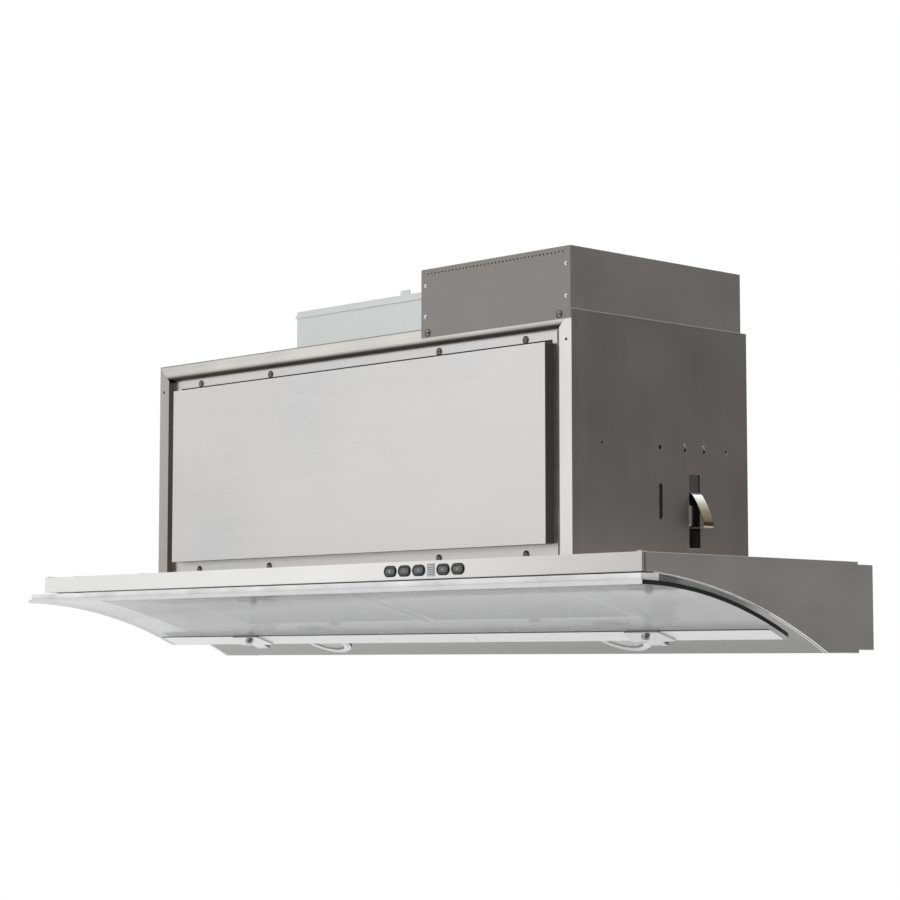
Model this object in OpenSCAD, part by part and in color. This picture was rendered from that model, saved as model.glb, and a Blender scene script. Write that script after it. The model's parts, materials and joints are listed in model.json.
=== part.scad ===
// Under cabinet range hood: a slim canopy that hangs below a wall cabinet, with a
// curved glass panel under its pan, and a blower box that stands inside the cabinet.
// Millimetres. X runs to the right seen from the front, Y to the wall, Z up.
// The origin is the centre of the four cabinet screws, on the plane of the cabinet floor.

/* [Canopy] */
// Width over the side panels
canopy_w = 911; // [880:1:940]
// Depth from the front of the rail to the back of the rear channel
canopy_d = 343; // [338:1:350]
// Height below the cabinet floor
canopy_h = 88; // [86:1:92]
// Depth of the side panels
side_d = 315; // [312:1:318]
// Height of the front rail
rail_h = 17.4; // [17:0.1:18]
// Radius of the curved underside
pan_r = 656; // [640:1:680]
// Length of the curved underside along Y
pan_run = 264; // [260:1:268]
// Thickness of the stainless sheet
steel_t = 1.2; // [1:0.1:1.4]

/* [Glass panel] */
// Width of the curved glass
glass_w = 936; // [920:1:946]
// Thickness of the glass
glass_t = 4; // [4:0.5:5]
// Radius of the underside of the glass
glass_r = 500; // [490:1:520]
// Sideways place of each rear hinge clip
clip_x = 303; // [295:1:312]

/* [Blower box] */
// Width of the box inside the cabinet
box_w = 637; // [630:1:644]
// Depth of the box
box_d = 260; // [256:1:262]
// Setback of the box from the front of the rail
box_setback = 58; // [56:1:60]
// Height of the box above the cabinet floor
box_h = 236; // [234:1:244]
// Thickness of the galvanised sheet
sheet_t = 1; // [0.8:0.1:1.2]
// Width of the access panel's raised field
panel_w = 576; // [560:2:580]

/* [Shroud and duct] */
// Width of the electrical shroud
shroud_w = 205; // [195:1:215]
// Depth of the electrical shroud
shroud_d = 251; // [240:1:256]
// Height of the electrical shroud
shroud_h = 60; // [55:1:70]
// Outside width of the duct collar
duct_w = 254; // [250:1:258]
// Outside depth of the duct collar
duct_d = 83; // [80:1:84]
// Height of the duct collar
duct_h = 74; // [70:1:80]

/* [Blower] */
// Diameter of the blower wheel
wheel_d = 150; // [140:1:152]
// Length of the blower wheel
wheel_l = 216; // [200:1:220]
// Number of blades round the wheel
blades = 36; // [24:1:40]

/* [Controls] */
// Length of an oval button
button_w = 16.4; // [15:0.1:18.8]
// Height of an oval button
button_h = 9.2; // [8:0.1:9.6]
// Distance between neighbouring buttons
button_pitch = 20.2; // [20:0.1:21]
// How far a button goes in
button_travel = 1.5; // [1:0.1:1.6]

/* [Hidden] */
$fn = 64;
arc_fn = 720;
eps = 0.01;

mount_x = 387;
mount_y = 105;
mount_r = 3;

half_w = canopy_w / 2;
front_y = -170;
rear_y = front_y + canopy_d;
side_rear_y = front_y + side_d;
bottom_z = -canopy_h;
rail_z = -rail_h;

// Centre of an arc of radius r that runs from p at the front to q at the rear, bulging up
function arc_centre(p, q, r) =
    let (m = (p + q) / 2, d = q - p, l = norm(d), h = sqrt(r * r - l * l / 4))
    m + h * [d.y, -d.x] / l;
// Height of an arc above a point on the Y axis
function arc_z(c, r, y) = c.y + sqrt(r * r - (y - c.x) * (y - c.x));
// Slope of an arc at a point on the Y axis, in degrees below the horizontal
function arc_slope(c, r, y) = asin((y - c.x) / r);

pan_front = [front_y + 2, rail_z + 0.9];
pan_rear = [front_y + 2 + pan_run, bottom_z];
pan_c = arc_centre(pan_front, pan_rear, pan_r);
rail_return = 13;
pan_lip_y = front_y + rail_return + 0.2;
rail_tabs = [-417, -296];
magnet_x = 400;
magnet_y = front_y + 7;

glass_front = [front_y - 14, bottom_z + 58.8];
glass_rear = [front_y + 193, bottom_z + 12];
glass_c = arc_centre(glass_front, glass_rear, glass_r);
corner_r = 6;
strip_t = 2;
strip_l = 20;
hinge_y = front_y + 199;
hinge_z = bottom_z + 21;
pin_r = 2;
pin_fit = 0.05;
bar_top = rail_z - 1.9;
clip_y = glass_rear.x - 14;
clip_tab = 22;
clip_t = 2;
clip_gap = 0.2;

filter_half = 303;
filter_mid = 5;
filter_w = filter_half - filter_mid - 2;
filter_y0 = front_y + 71;
filter_y1 = front_y + 182;
filter_z0 = arc_z(pan_c, pan_r, filter_y0);
filter_z1 = arc_z(pan_c, pan_r, filter_y1);
filter_tilt = atan2(filter_z1 - filter_z0, filter_y1 - filter_y0);
filter_l = norm([filter_y1 - filter_y0, filter_z1 - filter_z0]) - 2;
filter_t = 9;
filter_proud = 3;
filter_rail = 10;
filter_x = (filter_half + filter_mid) / 2;

lamp_x = 227;
lamp_y = front_y + 226;
lamp_r = 33;
lamp_glass_r = 25;
lamp_cup_r = 29;

button_z = rail_z / 2 - 0.2;
button_x0 = 130.2;
display_gap = 33.8;
button_xs = [
    button_x0, button_x0 + button_pitch, button_x0 + 2 * button_pitch,
    button_x0 + 2 * button_pitch + display_gap, button_x0 + 3 * button_pitch + display_gap
];
display_x = button_x0 + 2 * button_pitch + display_gap / 2;
display_w = 9.2;
display_h = 12.2;
button_proud = 1.4;
button_gap = 0.35;
stem_y1 = front_y + 10.2;
switch_h = 5.6;
board_y = stem_y1 + button_travel + 0.3 + switch_h;

box_x = box_w / 2;
box_front_y = front_y + box_setback;
box_rear_y = box_front_y + box_d;
strip_w = 16;
frame_y = box_front_y + 7.6;
panel_depth = 12;
top_flange_h = 17;
roll_r = 6;
panel_z0 = 14.5;
panel_z1 = box_h - 30;
panel_screw_x = [-252, -131.5, 131.5, 252];
window_x = panel_w / 2 - 12;
window_z0 = panel_z0 + 6;
window_z1 = panel_z1 - 6;
screw_top_z = box_h - 23.5;
screw_low_z = 5.8;
screw_r = 1.9;
screw_hole = 2.05;
head_r = 3.2;

duct_x0 = -265;
duct_x1 = duct_x0 + duct_w;
duct_y1 = box_rear_y - 20;
duct_y0 = duct_y1 - duct_d;
duct_xc = (duct_x0 + duct_x1) / 2;
duct_yc = (duct_y0 + duct_y1) / 2;
damper_z = box_h + 18;
rod_r = 2;
flap_l = duct_d / 2 - sheet_t - 2;

wheel_y = duct_y1 - sheet_t - 122;
wheel_z = 115;
wheel_r = wheel_d / 2;
scroll_w = duct_w - 4;
scroll_r0 = wheel_r + 9;
scroll_r1 = duct_y1 - sheet_t - wheel_y;
inlet_r = 62;
shaft_r = 4;
hub_r = 12;
motor_x = 52;
motor_l = 78;
motor_r = 44;

shroud_x1 = box_x;
shroud_x0 = box_x - shroud_w;
shroud_y1 = box_front_y + shroud_d;
shroud_top = box_h + shroud_h;
skirt_z = box_h - 9;
lead_hole_r = 18;

// Depth behind the rail, height and radius of each hole in a side sheet
tab_ys = [221, 250];
tab_z = 111;
side_holes = [
    [100, tab_z, 1.8], [184, tab_z + 1, 2.8], [284, tab_z + 2, 1.8],
    [tab_ys[0], tab_z, 2.2], [tab_ys[1], tab_z, 2.2]
];

clip_slot_y = front_y + 235;
clip_slot_w = 17.6;
clip_slot_z0 = 15;
clip_slot_z1 = 88;
clip_y_w = 14.6;
clip_pivot_z = 68;
clip_out = 20;
clip_lip_z = 34;
clip_upstand = 24;

// Extrudes a Y-Z outline along X, centred on x
module along_x(w, x = 0) {
    translate([x, 0, 0]) rotate([90, 0, 90]) linear_extrude(w, center = true) children();
}

// Extrudes an X-Z outline from y towards the wall
module along_y(y, t) {
    translate([0, y + t, 0]) rotate([90, 0, 0]) linear_extrude(t) children();
}

// Box between two corners
module block(a, b) {
    translate(a) cube(b - a);
}

// Ring sector of the Y-Z plane between y0 and y1, above the arc's centre
module arc_band(c, r, t, y0, y1) {
    intersection() {
        translate(c) difference() {
            circle(r + t, $fn = arc_fn);
            circle(r, $fn = arc_fn);
        }
        translate([y0, c.y + r / 2]) square([y1 - y0, r]);
    }
}

// Places its children on the pan's underside, local Z along the surface normal
module on_pan(x, y) {
    translate([x, y, arc_z(pan_c, pan_r, y)])
    rotate([-arc_slope(pan_c, pan_r, y), 0, 0])
    children();
}

// Places its children on the underside of the glass at its clip line
module on_glass(x) {
    translate([x, clip_y, arc_z(glass_c, glass_r, clip_y)])
    rotate([-arc_slope(glass_c, glass_r, clip_y), 0, 0])
    children();
}

// Places its children in a filter's frame: local Y up the slope, Z out of the room side
module on_filter(s) {
    translate([s * filter_x, (filter_y0 + filter_y1) / 2, (filter_z0 + filter_z1) / 2])
    rotate([filter_tilt, 0, 0])
    children();
}

// Horizontal cylinder along X
module rod_x(x0, x1, y, z, r) {
    translate([x0, y, z]) rotate([0, 90, 0]) cylinder(h = x1 - x0, r = r);
}

// Hole through a sheet square to Y
module hole_y(x, z, r, y0, y1) {
    translate([x, y1, z]) rotate([90, 0, 0]) cylinder(h = y1 - y0, r = r);
}

// ---------------------------------------------------------------- canopy

module canopy_top() color("silver") {
    difference() {
        union() {
            block([-half_w + steel_t, front_y + 16.2, -steel_t],
                  [half_w - steel_t, side_rear_y, 0]);
            for (x = rail_tabs)
                block([x - 5, front_y + 16.2, -eps], [x + 5, front_y + 19, 1.6]);
        }
        block([-box_x + 18, frame_y + 4, -steel_t - 1], [box_x - 18, box_rear_y - 18, 1]);
        for (s = [-1, 1], y = [-mount_y, mount_y])
            translate([s * mount_x, y, -steel_t - 1]) cylinder(h = steel_t + 2, r = mount_r);
    }
}

// Side panel outline, cut away below the curved hem
module side_outline() {
    difference() {
        translate([front_y + steel_t, bottom_z]) square([side_d - steel_t, canopy_h]);
        translate(pan_c) circle(pan_r, $fn = arc_fn);
        translate([front_y - 1, bottom_z - 1]) square([3, canopy_h - rail_h + 1]);
    }
}

module side_panel(s) {
    along_x(steel_t, s * (half_w - steel_t / 2)) side_outline();
    // folded hem along the curve and the flat foot
    along_x(steel_t, s * (half_w - 1.5 * steel_t))
        intersection() {
            side_outline();
            union() {
                arc_band(pan_c, pan_r + 1, 6, front_y + 16, pan_rear.x);
                translate([pan_rear.x - 3, bottom_z + 1]) square([side_rear_y - pan_rear.x + 3, 6]);
            }
        }
}
module side_panel_left() color("gray") side_panel(-1);
module side_panel_right() color("gray") side_panel(1);

// Curved underside with the flat foot behind it
module pan() color("lightgray") {
    difference() {
        union() {
            along_x(canopy_w - 2 * steel_t) {
                arc_band(pan_c, pan_r, 1, pan_lip_y, pan_rear.x);
                translate([pan_rear.x - 0.2, bottom_z])
                    square([side_rear_y - pan_rear.x + 0.2, 1]);
            }
        }
        for (s = [-1, 1]) {
            on_filter(s) cube([filter_w + 2, filter_l + 2, 30], center = true);
            on_pan(s * lamp_x, lamp_y) translate([0, 0, -10]) cylinder(h = 20, r = lamp_cup_r + 0.3);
        }
    }
}

// Oval outline of a button, grown by g
module button_outline(g) {
    r = button_h / 2 + g;
    hull_w = button_w / 2 - button_h / 2;
    for (s = [-1, 1]) translate([s * hull_w, 0]) circle(r);
    translate([-hull_w, -r]) square([2 * hull_w, 2 * r]);
}

module front_rail() color("whitesmoke") {
    difference() {
        union() {
            block([-half_w, front_y, rail_z], [half_w, front_y + steel_t, 0]);
            block([-half_w, front_y, -steel_t], [half_w, front_y + 16, 0]);
            block([-half_w, front_y, rail_z], [half_w, front_y + rail_return, rail_z + steel_t]);
            // folded laps on top of the corners
            for (s = [-1, 1])
                block([s > 0 ? half_w - 5.5 : -half_w, front_y, -eps],
                      [s > 0 ? half_w : -half_w + 5.5, front_y + 11, 1]);
        }
        // the side panels reach into the returns
        for (s = [-1, 1])
            block([s * half_w - 1.5 * steel_t, front_y + steel_t, rail_z - 1],
                  [s * half_w + 1.5 * steel_t, front_y + 30, 1]);
        for (x = button_xs)
            translate([x, 0, button_z]) along_y(front_y - 1, steel_t + 2) button_outline(button_gap);
        block([display_x - display_w / 2, front_y - 1, button_z - display_h / 2],
              [display_x + display_w / 2, front_y + steel_t + 1, button_z + display_h / 2]);
        for (x = [-magnet_x, magnet_x])
            translate([x, magnet_y, rail_z - 1]) cylinder(h = steel_t + 2, r = 4);
    }
}

// Channel that closes the canopy against the wall, a little lower than the canopy behind it
module rear_channel() color("dimgray") {
    w = half_w - 2.5 * steel_t;
    y0 = side_rear_y - 12;
    difference() {
        union() {
            block([-w, y0, bottom_z + 1], [w, side_rear_y, -steel_t]);
            block([-w, y0, bottom_z + 3], [w, rear_y, -2 * steel_t]);
        }
        block([-w + 1, y0 - 1, bottom_z + 2], [w - 1, side_rear_y - 1, -steel_t - 1]);
        block([-w + 1, y0 - 1, bottom_z + 4], [w - 1, rear_y - 1, -2 * steel_t - 1]);
    }
}

// Magnets in the rail that hold the glass panel's bar
module magnet_catches() color("black") {
    for (x = [-magnet_x, magnet_x]) translate([x, magnet_y, rail_z - 1.4]) {
        cylinder(h = 9, r = 4);
        translate([0, 0, 1.4 + steel_t]) cylinder(h = 2, r = 5.2);
    }
}

// ---------------------------------------------------------------- glass panel

module glass_panel() color("lightcyan") {
    y1 = glass_rear.x;
    difference() {
        along_x(glass_w) arc_band(glass_c, glass_r, glass_t, glass_front.x, y1);
        for (s = [-1, 1]) on_glass(s * clip_x) translate([0, 0, -5]) cylinder(h = glass_t + 10, r = 3.2);
        // rounded rear corners
        for (s = [-1, 1]) translate([s * (glass_w / 2 - corner_r), y1 - corner_r, -2 * canopy_h])
            difference() {
                block([s > 0 ? 0 : -corner_r - 1, 0, 0],
                      [s > 0 ? corner_r + 1 : 0, corner_r + 1, 3 * canopy_h]);
                translate([0, 0, -1]) cylinder(h = 3 * canopy_h + 2, r = corner_r + 0.3);
            }
    }
}

// Stiffening bar on top of the front edge, with round corners at its rear
module glass_bar() color("white") {
    y0 = glass_front.x + 2;
    y1 = front_y + 18;
    r = 10;
    w = glass_w / 2 - 3;
    difference() {
        union() {
            block([-w, y0, bar_top - 12], [w, y1 - r, bar_top]);
            block([-w + r, y1 - r, bar_top - 12], [w - r, y1, bar_top]);
            for (s = [-1, 1]) translate([s * (w - r), y1 - r, bar_top - 12]) cylinder(h = 12, r = r);
        }
        rotate([90, 0, 90]) translate([glass_c.x, glass_c.y, -half_w * 2])
            cylinder(h = half_w * 4, r = glass_r + glass_t, $fn = arc_fn);
    }
}

// Strip bonded on top of the rear edge
module glass_strip() color("white") {
    difference() {
        along_x(glass_w - 16)
            arc_band(glass_c, glass_r + glass_t, strip_t, glass_rear.x - strip_l, glass_rear.x - 0.5);
        for (s = [-1, 1]) on_glass(s * clip_x) cylinder(h = glass_t + 10, r = 3.2);
    }
}

// Trapezoid plate under the rear edge of the glass, a leaf behind it and a hinge knuckle
module glass_clip(s) {
    x = s * clip_x;
    difference() {
        union() {
            on_glass(x) translate([0, 0, -clip_t - clip_gap]) linear_extrude(clip_t)
                polygon([[-22, -8], [22, -8], [29, 12], [10, 14], [10, clip_tab], [-10, clip_tab], [-10, 14],
                         [-29, 12]]);
            rod_x(x - 11, x + 11, hinge_y, hinge_z, 4.2);
            block([x - 11, hinge_y - 1.1, hinge_z - 13.8], [x + 11, hinge_y + 1.1, hinge_z - 3]);
        }
        rod_x(x - 12, x + 12, hinge_y, hinge_z, pin_r + pin_fit);
        on_glass(x) translate([0, 0, -10]) cylinder(h = 20, r = 2.6);
    }
}
module clip_left() color("gainsboro") glass_clip(-1);
module clip_right() color("gainsboro") glass_clip(1);

// Acorn nut below, stud through the glass and a flat nut above it
module clip_nuts() color("gainsboro") {
    nut_z = -clip_t - clip_gap - 3;
    for (s = [-1, 1]) on_glass(s * clip_x) {
        translate([0, 0, nut_z]) cylinder(h = 3, r = 4.6, $fn = 6);
        translate([0, 0, nut_z]) intersection() {
            sphere(r = 3.9);
            translate([-5, -5, -5]) cube([10, 10, 5]);
        }
        translate([0, 0, nut_z + 1]) cylinder(h = 2 + strip_t - nut_z + glass_t, r = 2.5);
        translate([0, 0, glass_t + strip_t + 0.4]) cylinder(h = 2, r = 6);
    }
}

module hinge_pins() color("silver") {
    for (s = [-1, 1]) rod_x(s * clip_x - 17, s * clip_x + 17, hinge_y, hinge_z, pin_r);
}

// Fork under the pan that carries each hinge pin
module hinge_posts() color("darkgray") {
    for (s = [-1, 1], e = [-1, 1]) difference() {
        x = s * clip_x + e * 14;
        intersection() {
            block([x - 2, hinge_y - 4, hinge_z - 4.2],
                  [x + 2, hinge_y + 4, hinge_z + 30]);
            rotate([90, 0, 90]) translate([pan_c.x, pan_c.y, -half_w])
                cylinder(h = half_w * 2, r = pan_r, $fn = arc_fn);
        }
        rod_x(x - 3, x + 3, hinge_y, hinge_z, pin_r);
    }
}

// ---------------------------------------------------------------- grease filters

module filter_frame(s) {
    on_filter(s) difference() {
        union() {
            translate([-filter_w / 2, -filter_l / 2, -filter_proud])
                cube([filter_w, filter_l, filter_t]);
            // hooks over the pan's front edge
            for (x = [-90, 90]) translate([x - 10, -filter_l / 2 - 6, 1.3]) cube([20, 8, 1.4]);
        }
        cube([filter_w - 2 * filter_rail, filter_l - 2 * filter_rail, 40], center = true);
        // guide for the latch
        translate([-13.4, filter_l / 2 - filter_rail + 0.2, 1.2]) cube([26.8, filter_rail, 2.4]);
        translate([-8.4, filter_l / 2 - filter_rail + 1, -filter_proud - 1]) cube([16.8, 8, 6]);
    }
}
module filter_frame_left() color("silver") filter_frame(-1);
module filter_frame_right() color("silver") filter_frame(1);

// Layered aluminium mesh inside the frame
module filter_mesh(s) {
    on_filter(s) translate([0, 0, filter_t / 2 - filter_proud])
        cube([filter_w - 2 * filter_rail, filter_l - 2 * filter_rail, filter_t - 2], center = true);
}
module filter_mesh_left() color("darkgray") filter_mesh(-1);
module filter_mesh_right() color("darkgray") filter_mesh(1);

// Sliding latch: a tongue over the pan's rear edge and a thumb grip on the room side
module filter_latch(s) {
    on_filter(s) {
        translate([-13, filter_l / 2 - 3.5, 1.5]) cube([26, 9, 1.8]);
        translate([-8, filter_l / 2 - 2.6, -filter_proud - 2]) cube([16, 1.2, 7]);
    }
}
module filter_latch_left() color("black") filter_latch(-1);
module filter_latch_right() color("black") filter_latch(1);

// ---------------------------------------------------------------- lamps

module lamp_bezel(s) {
    on_pan(s * lamp_x, lamp_y) translate([0, 0, -4]) rotate_extrude()
        polygon([[lamp_glass_r, 0], [lamp_r - 3, -0.8], [lamp_r, 1.8], [lamp_r, 3],
                 [lamp_cup_r, 3], [lamp_cup_r, 6], [lamp_glass_r, 6]]);
}
module lamp_bezel_left() color("gainsboro") lamp_bezel(-1);
module lamp_bezel_right() color("gainsboro") lamp_bezel(1);

module lamp_lens(s) {
    on_pan(s * lamp_x, lamp_y) translate([0, 0, -2.6]) cylinder(h = 2.4, r = lamp_glass_r);
}
module lamp_lens_left() color("lightyellow") lamp_lens(-1);
module lamp_lens_right() color("lightyellow") lamp_lens(1);

// Cup above the pan with a socket on top
module lamp_housing(s) {
    on_pan(s * lamp_x, lamp_y) difference() {
        union() {
            translate([0, 0, 2]) cylinder(h = 26, r = lamp_cup_r);
            translate([0, 0, 28]) cylinder(h = 10, r = 11);
        }
        translate([0, 0, 1]) cylinder(h = 25.8, r = lamp_cup_r - 1.2);
        translate([0, 0, 20]) cylinder(h = 14, r = 5);
    }
}
module lamp_housing_left() color("dimgray") lamp_housing(-1);
module lamp_housing_right() color("dimgray") lamp_housing(1);

// Halogen capsules
module lamp_bulbs() color("ivory") {
    for (s = [-1, 1]) on_pan(s * lamp_x, lamp_y) {
        translate([0, 0, 16]) cylinder(h = 18, r = 4.9);
        translate([0, 0, 16]) sphere(r = 4.9);
    }
}

// ---------------------------------------------------------------- controls

module button(i) {
    x = button_xs[i];
    y0 = front_y - button_proud;
    translate([x, 0, button_z]) {
        difference() {
            union() {
                along_y(y0, button_proud + steel_t + 1.6) button_outline(0);
                // flange that keeps the button behind the rail
                along_y(front_y + steel_t + 0.3, 1.3) button_outline(0.6);
            }
            // dished face inside a raised rim
            along_y(y0 - 1, 1.5) button_outline(-1.5);
        }
        along_y(y0 + 0.2, 0.5) button_outline(-2.2);
        along_y(front_y + steel_t + 1.5, stem_y1 - front_y - steel_t - 1.5) square([6, 3], center = true);
    }
}
module button_1() color([0.2, 0.2, 0.21]) button(0);
module button_2() color([0.2, 0.2, 0.21]) button(1);
module button_3() color([0.2, 0.2, 0.21]) button(2);
module button_4() color([0.2, 0.2, 0.21]) button(3);
module button_5() color([0.2, 0.2, 0.21]) button(4);

// Level indicator between the third and fourth buttons
module display_window() color("lightgray") {
    block([display_x - display_w / 2, front_y - 0.5, button_z - display_h / 2],
          [display_x + display_w / 2, housing_y0, button_z + display_h / 2]);
}

housing_x0 = button_xs[0] - 18;
housing_x1 = button_xs[4] + 18;
housing_y0 = front_y + 4.8;
housing_y1 = front_y + 30;
module control_housing() color("dimgray") {
    difference() {
        block([housing_x0, housing_y0, rail_z + 2.2], [housing_x1, housing_y1, -steel_t]);
        block([housing_x0 + 1.4, housing_y0 + 1.4, rail_z + 3.6],
              [housing_x1 - 1.4, housing_y1 + 1, -steel_t - 1.4]);
        for (x = button_xs)
            block([x - 3.4, housing_y0 - 1, button_z - 1.9], [x + 3.4, housing_y0 + 2, button_z + 1.9]);
    }
}

// Switch board with one tact switch behind each button stem
module control_board() color("darkgreen") {
    block([housing_x0 + 1.8, board_y, rail_z + 3.8], [housing_x1 - 1.8, board_y + 1.6, -steel_t - 1.6]);
    for (x = button_xs) {
        block([x - 3, board_y - 4, button_z - 3], [x + 3, board_y, button_z + 3]);
        hole_y(x, button_z, 1.7, board_y - switch_h, board_y - 4);
    }
    block([housing_x0 + 4, board_y + 1.6, button_z - 4], [housing_x0 + 22, board_y + 8, button_z + 3]);
}

// ---------------------------------------------------------------- blower box

// Side sheet with its front strip, inner return and foot
module box_side(s) {
    difference() {
        union() {
            x1 = s * box_x;
            x0 = s * (box_x - sheet_t);
            block([min(x0, x1), box_front_y + sheet_t - eps, 0], [max(x0, x1), box_rear_y, box_h]);
            along_y(box_front_y, sheet_t)
                polygon([[s * box_x, 0], [s * box_x, box_h],
                         [s * (box_x - strip_w), box_h - top_flange_h], [s * (box_x - strip_w), 0]]);
            block([min(s * (box_x - strip_w), s * (box_x - strip_w + sheet_t)), box_front_y, 0],
                  [max(s * (box_x - strip_w), s * (box_x - strip_w + sheet_t)), frame_y,
                   box_h - top_flange_h - 1]);
            block([min(s * box_x, s * (box_x - 14)), box_front_y + 16, 0],
                  [max(s * box_x, s * (box_x - 14)), box_rear_y - 2, sheet_t]);
        }
        hole_y(s * (box_x - 7), box_h - 29, 1.5, box_front_y - 1, box_front_y + sheet_t + 1);
        for (h = side_holes) side_hole(s, front_y + h[0], h[1], h[2]);
        // slot with round ends
        side_cut(s, front_y + 181.5, front_y + 187.5, 44, 74);
        for (z = [44, 74]) side_hole(s, front_y + 184.5, z, 3);
        side_cut(s, clip_slot_y - clip_slot_w / 2, clip_slot_y + clip_slot_w / 2, clip_slot_z0, clip_slot_z1);
    }
    // plate inside the sheet that the spring tongue bends from
    block([s > 0 ? box_x - 2.2 : -box_x + sheet_t - eps, clip_slot_y - 12, clip_pivot_z + 2],
          [s > 0 ? box_x - sheet_t + eps : -box_x + 2.2, clip_slot_y + 12, clip_slot_z1 + 16]);
    // lanced tabs beside the two small holes
    for (y = tab_ys)
        rod_x(s > 0 ? box_x - eps : -box_x - 1, s > 0 ? box_x + 1 : -box_x + eps,
              front_y + y, tab_z + 4.6, 1.8);
}
module side_hole(s, y, z, r) {
    rod_x(s > 0 ? box_x - 5 : -box_x - 5, s > 0 ? box_x + 5 : -box_x + 5, y, z, r);
}
module side_cut(s, y0, y1, z0, z1) {
    block([s > 0 ? box_x - 5 : -box_x - 5, y0, z0], [s > 0 ? box_x + 5 : -box_x + 5, y1, z1]);
}
module box_side_left() color("dimgray") box_side(-1);
module box_side_right() color("dimgray") box_side(1);

module box_back() color("gray") {
    block([-box_x + sheet_t, box_rear_y - sheet_t, sheet_t], [box_x - sheet_t, box_rear_y, box_h - sheet_t]);
}

// Top sheet, with the blower outlet and a hole into the shroud
module box_top() color("silver") {
    difference() {
        block([-box_x + sheet_t, frame_y + sheet_t, box_h - sheet_t], [box_x - sheet_t, box_rear_y, box_h]);
        block([duct_x0 + sheet_t, duct_y0 + sheet_t, box_h - 5], [duct_x1 - sheet_t, duct_y1 - sheet_t, box_h + 5]);
        translate([(shroud_x0 + shroud_x1) / 2, 0, box_h - 5]) cylinder(h = 10, r = lead_hole_r);
    }
}

// Rectangle of the Y-Z plane whose lower front corner is rounded
module rolled(y0, z0, y1, z1, r) {
    difference() {
        translate([y0, z0]) square([y1 - y0, z1 - z0]);
        difference() {
            translate([y0 - 1, z0 - 1]) square(r + 1);
            translate([y0 + r, z0 + r]) circle(r);
        }
    }
}

// Rolled top rail with mitred ends, and the frame behind the access panel
module front_frame() color("silver") {
    xs = box_x - strip_w;
    z0 = box_h - top_flange_h;
    difference() {
        intersection() {
            along_x(2 * box_x) difference() {
                rolled(box_front_y, z0, frame_y + sheet_t, box_h, roll_r);
                rolled(box_front_y + sheet_t, z0 + sheet_t, frame_y + 2 * sheet_t, box_h - sheet_t,
                       roll_r - sheet_t);
            }
            along_y(box_front_y - 1, frame_y - box_front_y + sheet_t + 2)
                polygon([[-box_x, box_h], [box_x, box_h], [xs, z0], [-xs, z0]]);
        }
        for (p = shroud_screws) hole_y(p.x, p.y, screw_hole, box_front_y - 1, box_front_y + 3);
    }
    difference() {
        block([-box_x + sheet_t, frame_y, sheet_t], [box_x - sheet_t, frame_y + sheet_t, box_h - sheet_t]);
        block([-window_x, frame_y - 1, window_z0], [window_x, frame_y + 5, window_z1]);
        for (x = panel_screw_x, z = [screw_top_z, screw_low_z])
            hole_y(x, z, screw_hole, frame_y - 1, frame_y + 5);
    }
}

// Cover with a raised field and screw flanges above and below
module access_panel() color("gainsboro") {
    w = panel_w / 2;
    y0 = frame_y - panel_depth;
    difference() {
        union() {
            difference() {
                block([-w, y0, panel_z0], [w, frame_y, panel_z1]);
                block([-w + 1, y0 + 1, panel_z0 + 1], [w - 1, frame_y + 1, panel_z1 - 1]);
            }
            block([-w - 6, frame_y - 1, panel_z1 - 1], [w + 6, frame_y, box_h - top_flange_h - 1]);
            block([-w - 6, frame_y - 1, 2], [w + 6, frame_y, panel_z0 + 1]);
        }
        for (x = panel_screw_x, z = [screw_top_z, screw_low_z])
            hole_y(x, z, screw_hole, frame_y - 3, frame_y + 5);
    }
}

// Pan head screw driven towards the wall
module screw_y(x, y, z, l) {
    translate([x, y, z]) rotate([-90, 0, 0]) {
        difference() {
            translate([0, 0, -2.2]) cylinder(h = 2.2, r = head_r);
            translate([0, 0, -3.2]) cylinder(h = 2, r = 1.5, $fn = 6);
        }
        cylinder(h = l, r = screw_r);
    }
}
shroud_screws = [[shroud_x0 + 9, box_h - 4.5], [shroud_x1 - 15, box_h - 4.5]];
module sheet_screws() color("dimgray") {
    for (x = panel_screw_x, z = [screw_top_z, screw_low_z]) screw_y(x, frame_y - 1, z, 8);
    for (p = shroud_screws) screw_y(p.x, box_front_y - sheet_t, p.y, 7);
}

// ---------------------------------------------------------------- shroud and duct

perforations = 38;
module shroud() color("gray") {
    y0 = box_front_y - sheet_t;
    difference() {
        union() {
            difference() {
                block([shroud_x0, y0, box_h], [shroud_x1, shroud_y1, shroud_top]);
                block([shroud_x0 + 1, y0 + 1, box_h - 1], [shroud_x1 - 1, shroud_y1 - 1, shroud_top - 1]);
            }
            block([shroud_x0, y0, skirt_z], [shroud_x1, y0 + sheet_t, box_h + 2]);
        }
        for (p = shroud_screws) hole_y(p.x, p.y, screw_hole, y0 - 2, y0 + 4);
        for (i = [0 : perforations - 1])
            hole_y(shroud_x0 + 10 + i * (shroud_w - 20) / (perforations - 1), shroud_top - 5, 0.9, y0 - 1, y0 + 3);
        // closed knockout for the supply, outlined by a groove
        difference() {
            hole_y(shroud_x0 + 50, box_h + 28, 11, shroud_y1 - 0.4, shroud_y1 + 1);
            hole_y(shroud_x0 + 50, box_h + 28, 10.2, shroud_y1 - 1, shroud_y1 + 2);
        }
    }
}

// Dome rivets on the shroud's front corners
module shroud_rivets() color("silver") {
    for (x = [shroud_x0 + 6, shroud_x1 - 6], z = [box_h + 12, box_h + 43])
        translate([x, box_front_y - sheet_t, z]) rotate([90, 0, 0]) intersection() {
            translate([0, 0, -1.6]) sphere(r = 2.8);
            cylinder(h = 3, r = 2.6);
        }
}

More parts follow.
